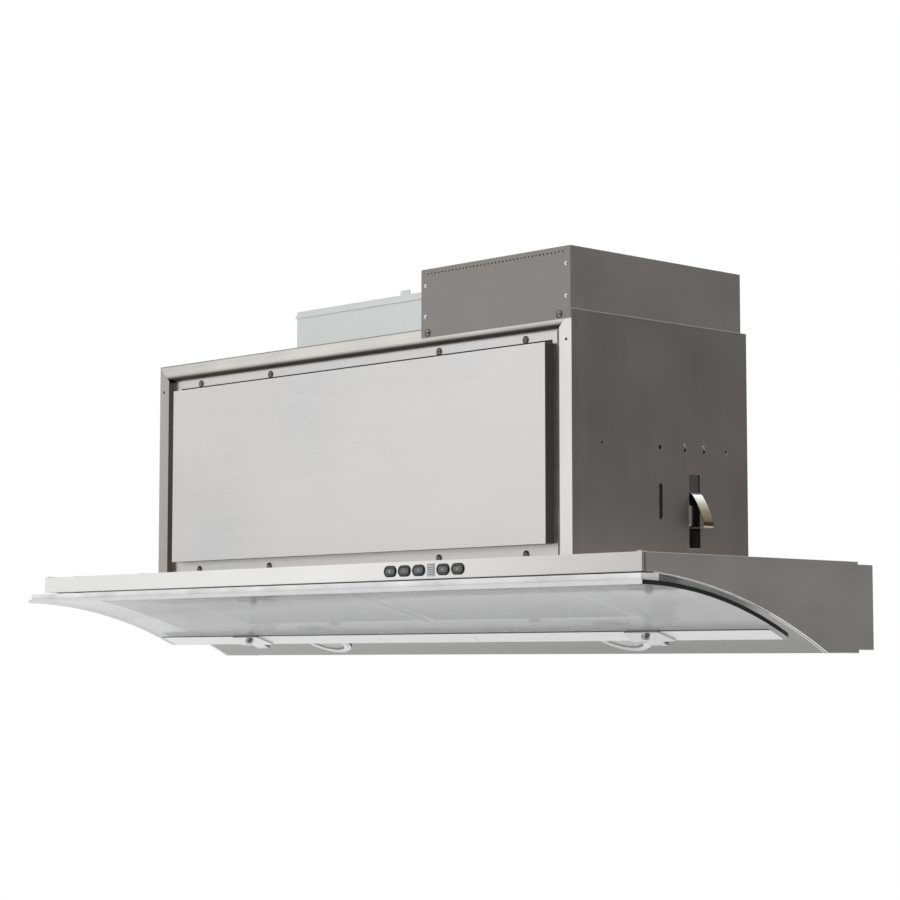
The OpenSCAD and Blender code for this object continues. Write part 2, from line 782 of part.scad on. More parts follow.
// Galvanised collar with a base flange and a rolled lip
module duct_collar() color("lightsteelblue") {
    z1 = box_h + duct_h;
    difference() {
        union() {
            block([duct_x0, duct_y0, box_h], [duct_x1, duct_y1, z1]);
            block([duct_x0 - 12, duct_y0 - 12, box_h], [duct_x1 + 12, duct_y1 + 12, box_h + 1]);
            block([duct_x0 - 1.4, duct_y0 - 1.4, z1 - 8], [duct_x1 + 1.4, duct_y1 + 1.4, z1 - 5]);
            block([duct_x1 - 77, duct_y0, z1 - 1], [duct_x1 - 62, duct_y0 + 1, z1 + 5]);
        }
        block([duct_x0 + 1, duct_y0 + 1, box_h - 1], [duct_x1 - 1, duct_y1 - 1, z1 + 1]);
        rod_x(duct_x0 - 3, duct_x1 + 3, duct_yc, damper_z, rod_r);
    }
}

module damper_rod() color("silver") {
    rod_x(duct_x0 - 2, duct_x1 + 2, duct_yc, damper_z, rod_r);
}

// Half of the butterfly damper: s is -1 for the room side and 1 for the wall side
knuckles = 3;
module damper_flap(s) {
    w = duct_w - 2 * sheet_t - 6;
    step = w / (2 * knuckles);
    translate([duct_xc, duct_yc, damper_z]) {
        y0 = s > 0 ? 5 : -flap_l;
        translate([-w / 2, y0, -0.4]) cube([w, flap_l - 5, 0.8]);
        for (i = [0 : knuckles - 1]) {
            x = -w / 2 + (2 * i + (s > 0 ? 0.5 : 1.5)) * step;
            difference() {
                union() {
                    rod_x(x - 8, x + 8, 0, 0, 3.4);
                    translate([x - 8, s > 0 ? 0 : -6, -0.4]) cube([16, 6, 0.8]);
                }
                rod_x(x - 9, x + 9, 0, 0, rod_r + pin_fit);
            }
        }
    }
}
module damper_flap_front() color("slategray") damper_flap(-1);
module damper_flap_rear() color("slategray") damper_flap(1);

// ---------------------------------------------------------------- blower

// Spiral that grows evenly from the cut-off, over the front and bottom, to the rear wall
scroll_steps = 27;
function spiral(grow) = [
    for (i = [0 : scroll_steps])
        let (a = 90 + i * 270 / scroll_steps,
             r = scroll_r0 + (scroll_r1 - scroll_r0) * i / scroll_steps + grow)
        [wheel_y + r * cos(a), wheel_z + r * sin(a)]
];
module scroll_outline(grow) {
    polygon(concat(spiral(grow), [
        [wheel_y + scroll_r1 + grow, box_h - sheet_t],
        [duct_y0 + sheet_t - grow, box_h - sheet_t],
        [duct_y0 + sheet_t - grow, wheel_z + scroll_r0 + 14],
        [wheel_y + 18, wheel_z + scroll_r0 + grow]
    ]));
}

module scroll_wrap() color("lightsteelblue") {
    difference() {
        along_x(scroll_w - 2 * sheet_t, duct_xc) scroll_outline(0);
        along_x(scroll_w, duct_xc) scroll_outline(-sheet_t);
    }
}

module scroll_side(s) {
    x = duct_xc + s * (scroll_w / 2 - sheet_t / 2);
    difference() {
        union() {
            along_x(sheet_t, x) scroll_outline(3);
            // rolled inlet ring
            translate([x, wheel_y, wheel_z]) rotate([0, 90 * s, 0]) rotate_extrude()
                translate([inlet_r + 2, 0]) square([2, 5]);
        }
        rod_x(x - 10, x + 10, wheel_y, wheel_z, inlet_r);
        block([x - 10, -200, box_h - sheet_t], [x + 10, 200, box_h + 20]);
    }
}
module scroll_side_left() color("lightsteelblue") scroll_side(-1);
module scroll_side_right() color("lightsteelblue") scroll_side(1);

// Double inlet wheel: end rings, centre disc, hub and forward-leaning blades
module blower_wheel() color("dimgray") {
    x0 = duct_xc - wheel_l / 2;
    translate([x0, wheel_y, wheel_z]) rotate([0, 90, 0]) difference() {
        union() {
            for (z = [0, wheel_l - 3]) translate([0, 0, z]) difference() {
                cylinder(h = 3, r = wheel_r);
                translate([0, 0, -1]) cylinder(h = 5, r = wheel_r - 10);
            }
            translate([0, 0, wheel_l / 2 - 1]) cylinder(h = 2, r = wheel_r - 2);
            translate([0, 0, wheel_l / 2 - 12]) cylinder(h = 24, r = hub_r);
            for (i = [0 : blades - 1]) rotate([0, 0, i * 360 / blades])
                translate([wheel_r - 6.2, 0, wheel_l / 2]) rotate([0, 0, 38])
                    cube([9, 0.9, wheel_l - 2], center = true);
        }
        translate([0, 0, wheel_l / 2 - 20]) cylinder(h = 40, r = shaft_r);
    }
}

module blower_shaft() color("silver") {
    rod_x(duct_xc - 16, motor_x + motor_l / 2 + 8, wheel_y, wheel_z, shaft_r);
}

module motor_body() color("darkgray") {
    difference() {
        union() {
            rod_x(motor_x - motor_l / 2, motor_x + motor_l / 2, wheel_y, wheel_z, motor_r);
            rod_x(motor_x - motor_l / 2 - 8, motor_x + motor_l / 2 + 4, wheel_y, wheel_z, 14);
        }
        rod_x(motor_x - 60, motor_x + 60, wheel_y, wheel_z, shaft_r + pin_fit);
        // cooling slots round both end bells
        for (e = [-1, 1], a = [0 : 30 : 330]) translate([motor_x + e * (motor_l / 2), wheel_y, wheel_z])
            rotate([a, 0, 0]) block([-4, -3, 22], [4, 3, 36]);
    }
}

// Three arms from the right scroll side to a band round the motor
module motor_bracket() color("silver") {
    x0 = duct_xc + scroll_w / 2;
    arm_r = inlet_r + 4.5;
    arm_t = 1.6;
    difference() {
        union() {
            rod_x(motor_x - 12, motor_x + 12, wheel_y, wheel_z, motor_r + 2);
            for (a = [30, 150, 270]) translate([x0, wheel_y, wheel_z]) rotate([a, 0, 0]) {
                block([0, arm_r, -8], [arm_t, arm_r + 12, 8]);
                block([0, arm_r, -8], [motor_x - x0 + 12, arm_r + arm_t, 8]);
                block([motor_x - x0 - 12, motor_r + 1, -8], [motor_x - x0 + 12, arm_r + arm_t, 8]);
            }
        }
        rod_x(motor_x - 13, motor_x + 13, wheel_y, wheel_z, motor_r);
    }
}

// ---------------------------------------------------------------- cabinet springs

// Bent spring tongue: down and out through the slot, then back in at the lip
module spring_clip(s) {
    x = box_x - 3;
    along_y(clip_slot_y - clip_y_w / 2, clip_y_w) {
        polygon([[s * x, clip_pivot_z + 1.4], [s * (x + 1.2), clip_pivot_z + 1],
                 [s * (box_x + clip_out), clip_lip_z + 2], [s * (box_x + clip_out), clip_lip_z],
                 [s * (x - 4), clip_lip_z], [s * (x - 4), clip_lip_z + clip_upstand],
                 [s * (x - 3), clip_lip_z + clip_upstand],
                 [s * (x - 3), clip_lip_z + 1.2], [s * (box_x + clip_out - 2.4), clip_lip_z + 1.2],
                 [s * (x - 0.8), clip_pivot_z - 1.6]]);
    }
}
module spring_clip_left() color("silver") spring_clip(-1);
module spring_clip_right() color("silver") spring_clip(1);

// ---------------------------------------------------------------- electrics

// Supply board on pillars under the shroud, with a terminal block and a relay
module power_board() color("darkgreen") {
    z = box_h + 10;
    block([shroud_x0 + 30, -60, z], [shroud_x1 - 30, 60, z + 1.6]);
    for (x = [shroud_x0 + 38, shroud_x1 - 38], y = [-52, 52]) translate([x, y, box_h]) cylinder(h = 10, r = 3);
    block([shroud_x0 + 40, 30, z + 1.6], [shroud_x0 + 80, 50, z + 18]);
    block([shroud_x0 + 96, -40, z + 1.6], [shroud_x0 + 128, -12, z + 20]);
    block([shroud_x0 + 44, -46, z + 1.6], [shroud_x0 + 76, -6, z + 32]);
}

// Motor capacitor on a clamp block against the back sheet
module capacitor() color("ivory") {
    y = box_rear_y - sheet_t - 20;
    rod_x(190, 250, y, 150, 17);
    rod_x(250, 255, y, 150, 9);
    block([214, y, 131], [226, box_rear_y - sheet_t, 169]);
}

canopy_top();
side_panel_left();
side_panel_right();
pan();
front_rail();
rear_channel();
magnet_catches();
glass_panel();
glass_bar();
glass_strip();
clip_left();
clip_right();
clip_nuts();
hinge_pins();
hinge_posts();
filter_frame_left();
filter_frame_right();
filter_mesh_left();
filter_mesh_right();
filter_latch_left();
filter_latch_right();
lamp_bezel_left();
lamp_bezel_right();
lamp_lens_left();
lamp_lens_right();
lamp_housing_left();
lamp_housing_right();
lamp_bulbs();
button_1();
button_2();
button_3();
button_4();
button_5();
display_window();
control_housing();
control_board();
box_side_left();
box_side_right();
box_back();
box_top();
front_frame();
access_panel();
sheet_screws();
shroud();
shroud_rivets();
duct_collar();
damper_flap_front();
damper_flap_rear();
damper_rod();
scroll_wrap();
scroll_side_left();
scroll_side_right();
blower_wheel();
blower_shaft();
motor_body();
motor_bracket();
spring_clip_left();
spring_clip_right();
power_board();
capacitor();
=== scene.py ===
"""Looks of an under cabinet range hood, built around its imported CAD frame. Metres."""

import json
import math

import bmesh
import bpy
from mathutils import Matrix, Vector


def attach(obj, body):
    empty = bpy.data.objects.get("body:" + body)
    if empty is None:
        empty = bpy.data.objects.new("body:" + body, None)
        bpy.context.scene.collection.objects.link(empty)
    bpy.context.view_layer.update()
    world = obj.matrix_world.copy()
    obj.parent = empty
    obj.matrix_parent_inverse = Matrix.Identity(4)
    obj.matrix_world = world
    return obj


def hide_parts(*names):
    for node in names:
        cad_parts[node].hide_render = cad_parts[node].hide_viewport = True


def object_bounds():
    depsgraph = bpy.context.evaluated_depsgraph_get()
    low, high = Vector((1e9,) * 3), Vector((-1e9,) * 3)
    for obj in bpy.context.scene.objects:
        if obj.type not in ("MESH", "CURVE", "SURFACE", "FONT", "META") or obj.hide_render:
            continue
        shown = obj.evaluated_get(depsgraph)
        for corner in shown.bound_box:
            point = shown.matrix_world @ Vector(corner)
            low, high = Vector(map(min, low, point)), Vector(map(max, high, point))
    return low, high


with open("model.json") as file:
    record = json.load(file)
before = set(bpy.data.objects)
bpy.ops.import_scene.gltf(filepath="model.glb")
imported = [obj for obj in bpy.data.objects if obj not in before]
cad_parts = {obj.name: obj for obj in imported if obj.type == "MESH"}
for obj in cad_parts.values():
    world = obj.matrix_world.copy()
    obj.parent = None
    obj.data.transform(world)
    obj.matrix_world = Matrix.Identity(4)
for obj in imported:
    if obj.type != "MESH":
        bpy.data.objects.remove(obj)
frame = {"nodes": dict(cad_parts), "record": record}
cad_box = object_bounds()
nodes = frame["nodes"]

# ---------------------------------------------------------------- camera and studio

CAMERA_PLACE = (1.8374, -1.7385, -0.0974)
CAMERA_YAW = 45.987
CAMERA_PITCH = 5.11
CAMERA_LENS = 95.2
FLOOR_DROP = 0.42
FLOOR_HALF = 1.6
BRIGHT_SIDE = 0.86
DARK_SIDE = 0.15
CEILING = 1.25


def make_camera():
    data = bpy.data.cameras.new("camera")
    data.lens = CAMERA_LENS
    data.sensor_width = 36
    camera = bpy.data.objects.new("camera", data)
    camera.location = CAMERA_PLACE
    camera.rotation_euler = (math.radians(90 + CAMERA_PITCH), 0, math.radians(CAMERA_YAW))
    bpy.context.scene.collection.objects.link(camera)
    bpy.context.scene.camera = camera


def add_node(tree, kind, inputs=None, **settings):
    """A shader node; its inputs are values or other nodes' outputs."""
    made = tree.nodes.new("ShaderNode" + kind)
    for name, value in settings.items():
        setattr(made, name, value)
    for key, value in (inputs or {}).items():
        if isinstance(value, bpy.types.NodeSocket):
            tree.links.new(value, made.inputs[key])
        else:
            made.inputs[key].default_value = value
    return made


def make_world():
    """White backdrop for the camera; light that is bright from the left and dark from the right."""
    world = bpy.data.worlds.new("studio")
    bpy.context.scene.world = world
    world.use_nodes = True
    tree = world.node_tree
    tree.nodes.clear()
    place = add_node(tree, "TexCoord")
    axes = add_node(tree, "SeparateXYZ", {0: place.outputs["Generated"]})
    side = add_node(
        tree,
        "MapRange",
        {
            "Value": axes.outputs["X"],
            "From Min": -0.55,
            "From Max": 0.62,
            "To Min": BRIGHT_SIDE,
            "To Max": DARK_SIDE,
        },
        interpolation_type="SMOOTHSTEP",
    )
    height = add_node(
        tree,
        "MapRange",
        {"Value": axes.outputs["Z"], "From Min": 0.30, "From Max": 0.62, "To Min": 0.0, "To Max": 1.0},
        interpolation_type="SMOOTHSTEP",
    )
    level = add_node(tree, "Mix", {0: height.outputs[0], 2: side.outputs[0], 3: CEILING}, data_type="FLOAT")
    surround = add_node(tree, "Background", {"Color": level.outputs[0], "Strength": 1.0})
    backdrop = add_node(tree, "Background", {"Color": (1, 1, 1, 1), "Strength": 1.0})
    path = add_node(tree, "LightPath")
    both = add_node(
        tree,
        "MixShader",
        {0: path.outputs["Is Camera Ray"], 1: surround.outputs[0], 2: backdrop.outputs[0]},
    )
    out = add_node(tree, "OutputWorld")
    tree.links.new(both.outputs[0], out.inputs["Surface"])


def add_light(name, place, target, size, power, colour=(1, 1, 1)):
    data = bpy.data.lights.new(name, "AREA")
    data.shape = "RECTANGLE"
    data.size, data.size_y = size
    data.energy = power
    data.color = colour
    light = bpy.data.objects.new(name, data)
    light.location = place
    light.rotation_euler = (Vector(target) - Vector(place)).to_track_quat("-Z", "Y").to_euler()
    bpy.context.scene.collection.objects.link(light)


def make_studio():
    middle = (0, 0, 0.08)
    add_light("key", (-1.7, -2.3, 1.1), middle, (2.2, 1.6), 4)
    add_light("top", (-0.4, -0.2, 2.2), middle, (2.0, 2.0), 5)
    add_light("low", (-0.6, -1.9, -0.35), (0, 0, -0.05), (2.0, 0.5), 1.5)


def make_floor():
    mesh = bpy.data.meshes.new("floor")
    half = FLOOR_HALF
    corners = [(-half, -half, 0), (half, -half, 0), (half, half, 0), (-half, half, 0)]
    mesh.from_pydata(corners, [], [(0, 1, 2, 3)])
    floor = bpy.data.objects.new("floor", mesh)
    floor.location.z = cad_box[0].z - FLOOR_DROP
    bpy.context.scene.collection.objects.link(floor)
    material = bpy.data.materials.new("floor_white")
    material.use_nodes = True
    shader = material.node_tree.nodes["Principled BSDF"]
    shader.inputs["Base Color"].default_value = (0.93, 0.93, 0.93, 1)
    shader.inputs["Roughness"].default_value = 0.9
    shader.inputs["Specular IOR Level"].default_value = 0.1
    mesh.materials.append(material)


make_camera()
make_world()
make_studio()
make_floor()
bpy.context.scene.view_settings.view_transform = "Standard"

# ---------------------------------------------------------------- materials


def new_material(name, colour, roughness, metallic=0.0, **sockets):
    material = bpy.data.materials.new(name)
    material.use_nodes = True
    shader = material.node_tree.nodes["Principled BSDF"]
    shader.inputs["Base Color"].default_value = (*colour, 1)
    shader.inputs["Roughness"].default_value = roughness
    shader.inputs["Metallic"].default_value = metallic
    for socket, value in sockets.items():
        shader.inputs[socket.replace("_", " ")].default_value = value
    return material, material.node_tree, shader


def stretched_noise(tree, place, scale, detail=3.0, stretch=(1, 1, 1)):
    """Noise that runs in streaks along the axis with the smallest stretch."""
    if stretch != (1, 1, 1):
        place = add_node(tree, "Mapping", {"Vector": place, "Scale": stretch}).outputs[0]
    return add_node(tree, "TexNoise", {"Vector": place, "Scale": scale, "Detail": detail}).outputs["Fac"]


def tone(tree, factor, colour, spread, low=0.3, high=0.7):
    """Colour that runs from darker to lighter as the factor runs from low to high."""
    ramp = add_node(tree, "ValToRGB", {"Fac": factor})
    ramp.color_ramp.elements[0].position = low
    ramp.color_ramp.elements[1].position = high
    ramp.color_ramp.elements[0].color = (*[c * (1 - spread) for c in colour], 1)
    ramp.color_ramp.elements[1].color = (*[min(1, c * (1 + spread)) for c in colour], 1)
    return ramp.outputs["Color"]


def spread_over(tree, factor, low, high):
    return add_node(
        tree, "MapRange", {"Value": factor, "From Min": 0.25, "From Max": 0.75, "To Min": low, "To Max": high}
    ).outputs[0]


def average(tree, a, b, share=0.5):
    """Weighted mean of two factors; share is the weight of b."""
    return add_node(tree, "Mix", {0: share, 2: a, 3: b}, data_type="FLOAT").outputs[0]


def steel(
    name,
    colour,
    roughness,
    grain=(4, 700, 700),
    grain_depth=0.1,
    mottle=0.06,
    cloud=9,
    spangle=0.0,
    side=None,
    under=None,
    warm=0.0,
):
    """Rolled or brushed sheet: fine grain lines, cloudy tone, faint waviness and lighter edges that are
    partly wear and partly a painted highlight.

    side is the colour of faces that look left or right and under that of faces that look downwards, both
    painted light and shade for how light falls on such faces. spangle is the share of zinc crystals and warm
    the strength of yellowish stains.
    """
    material, tree, shader = new_material(name, colour, roughness, 1.0)
    place = add_node(tree, "TexCoord").outputs["Object"]
    lines = stretched_noise(tree, place, 1.0, 4.0, grain)
    coarse = stretched_noise(tree, place, 0.16, 3.0, grain)
    streaks = average(tree, lines, coarse)
    clouds = stretched_noise(tree, place, cloud, 5.0)
    patches = average(tree, clouds, streaks, 0.42)
    if spangle:
        cells = add_node(tree, "TexVoronoi", {"Vector": place, "Scale": 190.0}).outputs["Color"]
        grey = add_node(tree, "SeparateColor", {0: cells}).outputs[0]
        patches = average(tree, patches, grey, spangle)
    shader_colour = tone(tree, patches, colour, mottle * 2)
    if warm:
        tints = spread_over(tree, stretched_noise(tree, place, 6.0, 2.0), 0.0, 1.0)
        yellow = (colour[0] * (1 + warm), colour[1] * (1 + warm * 0.4), colour[2] * (1 - warm), 1)
        shader_colour = add_node(
            tree, "Mix", {0: tints, 6: shader_colour, 7: yellow}, data_type="RGBA"
        ).outputs[2]
    # lighter edges along every fold and corner: partly wear and partly a painted highlight
    edges = add_node(tree, "Bevel", {"Radius": 0.0007}, samples=3)
    flat = add_node(tree, "NewGeometry").outputs["Normal"]
    facing = add_node(tree, "VectorMath", {0: edges.outputs[0], 1: flat}, operation="DOT_PRODUCT")
    worn_and_highlit_edges = add_node(
        tree,
        "MapRange",
        {
            "Value": facing.outputs["Value"],
            "From Min": 0.995,
            "From Max": 0.86,
            "To Min": 0.0,
            "To Max": 0.55,
        },
    ).outputs[0]
    axes = add_node(tree, "SeparateXYZ", {0: flat})
    # painted light and shade on faces that look left or right
    if side:
        across = add_node(tree, "Math", {0: axes.outputs["X"]}, operation="ABSOLUTE").outputs[0]
        painted_side_colour = tone(tree, patches, side, mottle * 2)
        shader_colour = add_node(
            tree, "Mix", {0: across, 6: shader_colour, 7: painted_side_colour}, data_type="RGBA"
        ).outputs[2]
    # painted shade on faces that look downwards
    if under:
        painted_under_shade_mask = add_node(
            tree,
            "MapRange",
            {"Value": axes.outputs["Z"], "From Min": -0.05, "From Max": -0.5, "To Min": 0.0, "To Max": 1.0},
        ).outputs[0]
        shader_colour = add_node(
            tree, "Mix", {0: painted_under_shade_mask, 6: shader_colour, 7: (*under, 1)}, data_type="RGBA"
        ).outputs[2]
    # colour of the lighter edges: wear and painted highlight together
    bright = (*[min(1, c * 1.5 + 0.08) for c in colour], 1)
    worn_and_highlit_colour = add_node(tree, "Mix", {0: worn_and_highlit_edges, 6: shader_colour, 7: bright}, data_type="RGBA")
    tree.links.new(worn_and_highlit_colour.outputs[2], shader.inputs["Base Color"])
    tree.links.new(spread_over(tree, patches, roughness - 0.05, roughness + 0.07), shader.inputs["Roughness"])
    wave = stretched_noise(tree, place, 5.0, 1.0)
    bump = add_node(
        tree,
        "Bump",
        {"Strength": 0.12, "Distance": 0.004, "Height": wave, "Normal": edges.outputs[0]},
    )
    fine = add_node(
        tree,
        "Bump",
        {"Strength": grain_depth, "Distance": 0.0002, "Height": streaks, "Normal": bump.outputs[0]},
    )
    tree.links.new(fine.outputs[0], shader.inputs["Normal"])
    return material


def moulded(name, colour, roughness, grain=900.0, depth=0.06, coat=0.0, spread=0.14):
    """Moulded plastic or paint: soft tone changes and a fine pebbled bump."""
    material, tree, shader = new_material(name, colour, roughness, 0.0, Coat_Weight=coat)
    place = add_node(tree, "TexCoord").outputs["Object"]
    clouds = stretched_noise(tree, place, 30.0, 4.0)
    pebbles = stretched_noise(tree, place, grain, 2.0)
    tree.links.new(tone(tree, clouds, colour, spread), shader.inputs["Base Color"])
    tree.links.new(spread_over(tree, clouds, roughness - 0.05, roughness + 0.06), shader.inputs["Roughness"])
    bump = add_node(tree, "Bump", {"Strength": depth, "Distance": 0.0003, "Height": pebbles})
    tree.links.new(bump.outputs[0], shader.inputs["Normal"])
    return material


def clear_glass(name, colour, roughness, veil):
    """Glass seen as a thin veil; veil is how much of what is behind it each face hides."""
    material, tree, shader = new_material(name, colour, roughness, 0.0, IOR=1.5)
    place = add_node(tree, "TexCoord").outputs["Object"]
    smears = stretched_noise(tree, place, 14.0, 4.0)
    tree.links.new(spread_over(tree, smears, roughness, roughness + 0.05), shader.inputs["Roughness"])
    tree.links.new(tone(tree, smears, colour, 0.03), shader.inputs["Base Color"])
    tree.links.new(spread_over(tree, smears, veil - 0.02, veil + 0.02), shader.inputs["Alpha"])
    return material


ALONG_X = (4, 700, 700)
ALONG_Y = (700, 4, 700)
ALONG_Z = (700, 700, 4)
# painted shade for box faces that look sideways and downwards
BOX_SIDE_SHADE = (0.41, 0.385, 0.37)
BOX_UNDER_SHADE = (0.10, 0.09, 0.085)

MATERIALS = {
    "canopy_steel": steel("canopy_steel", (0.84, 0.825, 0.805), 0.3, ALONG_Y, 0.1, 0.03),
    "pan_steel": steel("pan_steel", (0.24, 0.238, 0.234), 0.26, ALONG_X, 0.08, 0.02),
    "rail_steel": steel("rail_steel", (0.86, 0.86, 0.85), 0.33, ALONG_X, 0.06, 0.012),
    "magnet": moulded("magnet", (0.05, 0.05, 0.055), 0.5),
    "panel_glass": clear_glass("panel_glass", (0.45, 0.455, 0.455), 0.05, 0.55),
    "bar_white": moulded("bar_white", (0.80, 0.80, 0.80), 0.35, 500, 0.03),
    "chrome": steel("chrome", (0.58, 0.58, 0.585), 0.09, ALONG_X, 0.02, 0.01),
    "pin_steel": steel("pin_steel", (0.6, 0.6, 0.6), 0.28, ALONG_X, 0.06, 0.03),
    "filter_aluminium": steel("filter_aluminium", (0.64, 0.65, 0.66), 0.3, ALONG_X, 0.08, 0.03),
    "filter_mesh": steel("filter_mesh", (0.70, 0.71, 0.72), 0.36, ALONG_X, 0.08, 0.05),
    "black_plastic": moulded("black_plastic", (0.035, 0.035, 0.038), 0.42),
    "lamp_glass": clear_glass("lamp_glass", (0.86, 0.86, 0.84), 0.2, 0.55),
    "galvanised": steel("galvanised", (0.60, 0.612, 0.612), 0.38, ALONG_Z, 0.06, 0.03, 10, 0.14),
    "bulb_glass": clear_glass("bulb_glass", (0.9, 0.89, 0.86), 0.05, 0.4),
    "button_graphite": moulded("button_graphite", (0.012, 0.012, 0.013), 0.22, 900, 0.03, 0.25),
    "display_lens": moulded("display_lens", (0.55, 0.56, 0.57), 0.2, 900, 0.02, 0.6),
    "circuit_board": moulded("circuit_board", (0.03, 0.13, 0.06), 0.4, 300, 0.1, 0.3),
    "box_steel": steel(
        "box_steel", (0.62, 0.60, 0.575), 0.4, ALONG_Z, 0.05, 0.05, side=BOX_SIDE_SHADE, under=BOX_UNDER_SHADE
    ),
    # its side and under colours are painted shade on faces that look sideways and downwards
    "panel_galvanised": steel(
        "panel_galvanised", (0.63, 0.627, 0.632), 0.42, (40, 420, 420), 0.05, 0.07, 3.6, 0.03,
        (0.20, 0.195, 0.19), (0.10, 0.10, 0.10), 0.03,
    ),
    "screw_black": steel("screw_black", (0.22, 0.215, 0.21), 0.12, ALONG_X, 0.03, 0.02),
    # its lighter side colour is painted light on faces that look sideways
    "shroud_steel": steel(
        "shroud_steel", (0.235, 0.225, 0.215), 0.40, ALONG_X, 0.05, 0.04, side=(0.51, 0.485, 0.465)
    ),
    "wheel_plastic": moulded("wheel_plastic", (0.05, 0.05, 0.055), 0.5),
    "motor_paint": moulded("motor_paint", (0.09, 0.09, 0.095), 0.4, 600, 0.12, 0.2),
    "spring_steel": steel("spring_steel", (0.62, 0.58, 0.52), 0.2, ALONG_Z, 0.04, 0.02),
    "capacitor_case": moulded("capacitor_case", (0.78, 0.77, 0.72), 0.3, 600, 0.04, 0.3),
}

EDGE_DARK = moulded("glass_edge", (0.012, 0.013, 0.013), 0.18, 700, 0.03, 0.4)
EDGE_WHITE = moulded("glass_front_edge", (0.70, 0.70, 0.70), 0.3, 700, 0.02, 0.2, 0.03)
GAP_BLACK = moulded("gap_black", (0.01, 0.01, 0.01), 0.6)
POLISHED = steel("polished_fold", (0.93, 0.93, 0.92), 0.14, ALONG_Y, 0.02, 0.01)
KEY_GREY = moulded("key_grey", (0.42, 0.42, 0.425), 0.3, 900, 0.02, 0.2)
KEY_DARK = moulded("key_dark", (0.10, 0.10, 0.103), 0.25, 900, 0.02, 0.3)
# dark steel standing for painted shade: the anchor plates seen through the slots and the rolled rail's top
# edge
SHADED_PLATE = steel("shaded_plate", (0.24, 0.235, 0.23), 0.34, ALONG_Z, 0.08, 0.06)
# its side and under colours are painted shade, darkest where the rail rolls under
ROLLED = steel(
    "rolled_rail",
    (0.60, 0.585, 0.56),
    0.34,
    ALONG_X,
    0.16,
    0.11,
    side=(0.3, 0.28, 0.27),
    under=(0.055, 0.05, 0.046),
)
# shaded and lit copies of the box steel: painted shade darkens the left side's front and painted light
# brightens the right side's
SHADED_LEFT_SHEET = steel(
    "box_left_sheet_shaded", (0.43, 0.41, 0.39), 0.4, ALONG_Z, 0.05, 0.05, side=BOX_SIDE_SHADE, under=BOX_UNDER_SHADE
)
LIT_RIGHT_SHEET = steel(
    "box_right_sheet_lit", (0.71, 0.695, 0.67), 0.4, ALONG_Z, 0.05, 0.05, side=BOX_SIDE_SHADE, under=BOX_UNDER_SHADE
)


def spring_with_painted_light():
    """Spring strip with painted light: a painted highlight at its top bend, painted light on its part within
    the box, and painted olive and brown reflections on its lower part.
    """
    material = steel("spring_leaf", (0.5, 0.48, 0.44), 0.2, ALONG_Z, 0.04, 0.02)
    tree = material.node_tree
    shader = tree.nodes["Principled BSDF"]
    place = add_node(tree, "TexCoord").outputs["Object"]
    height = add_node(tree, "SeparateXYZ", {0: place}).outputs["Z"]
    along = add_node(
        tree,
        "MapRange",
        {"Value": height, "From Min": 0.035, "From Max": 0.068, "To Min": 0.0, "To Max": 1.0},
    ).outputs[0]
    # painted highlight at the top bend, fading to painted reflections on the lower part
    ramp = add_node(tree, "ValToRGB", {"Fac": along})
    ramp.color_ramp.elements[0].color = (0.60, 0.57, 0.52, 1)
    ramp.color_ramp.elements[1].color = (0.90, 0.90, 0.89, 1)
    # painted olive and brown reflections, and a lighter band above them
    tints = (
        (0.05, (0.22, 0.145, 0.10, 1)),
        (0.5, (0.23, 0.20, 0.135, 1)),
        (0.72, (0.42, 0.40, 0.34, 1)),
    )
    for spot, colour in tints:
        ramp.color_ramp.elements.new(spot).color = colour
    across = add_node(tree, "SeparateXYZ", {0: place}).outputs["X"]
    out = add_node(tree, "Math", {0: across}, operation="ABSOLUTE").outputs[0]
    # painted light on the part of the strip within the box
    painted_light_within_box = add_node(
        tree,
        "MapRange",
        {"Value": out, "From Min": 0.3150, "From Max": 0.3140, "To Min": 0.0, "To Max": 1.0},
    ).outputs[0]
    shaded = add_node(
        tree, "Mix", {0: painted_light_within_box, 6: ramp.outputs["Color"], 7: (0.92, 0.92, 0.91, 1)}, data_type="RGBA"
    ).outputs[2]
    tree.links.new(shaded, shader.inputs["Base Color"])
    return material


SPRING_LEAF = spring_with_painted_light()


def rail_with_painted_shade():
    """Brushed rail with painted shade: a little greyer towards its right end, where less light falls."""
    material = steel("brushed_rail_shaded_right", (0.84, 0.838, 0.83), 0.33, ALONG_X, 0.06, 0.012)
    tree = material.node_tree
    shader = tree.nodes["Principled BSDF"]
    place = add_node(tree, "TexCoord").outputs["Object"]
    along = add_node(
        tree,
        "MapRange",
        {"Value": add_node(tree, "SeparateXYZ", {0: place}).outputs["X"], "From Min": 0.05, "From Max": 0.46,
         "To Min": 0.0, "To Max": 1.0},
    ).outputs[0]
    brushed = shader.inputs["Base Color"].links[0].from_socket
    # painted shade, greyer towards the right end
    shaded = add_node(
        tree, "Mix", {0: along, 6: brushed, 7: (0.53, 0.522, 0.508, 1)}, data_type="RGBA"
    ).outputs[2]
    tree.links.new(shaded, shader.inputs["Base Color"])
    return material


SHADED_RAIL = rail_with_painted_shade()

slot_of = {part["node"]: part["material_slot"] for part in frame["record"]["subparts"]}

# ---------------------------------------------------------------- sizes shared with the CAD, in metres

HALF_W = 0.4555
FRONT_Y = -0.170
BOTTOM_Z = -0.088
RAIL_H = 0.0174
SHEET_T = 0.001
SIDE_REAR_Y = 0.145
BOX_X = 0.3185
BOX_FRONT_Y = -0.112
FRAME_Y = -0.1044
BOX_H = 0.236
CLIP_X = 0.303
GLASS_W = 0.936


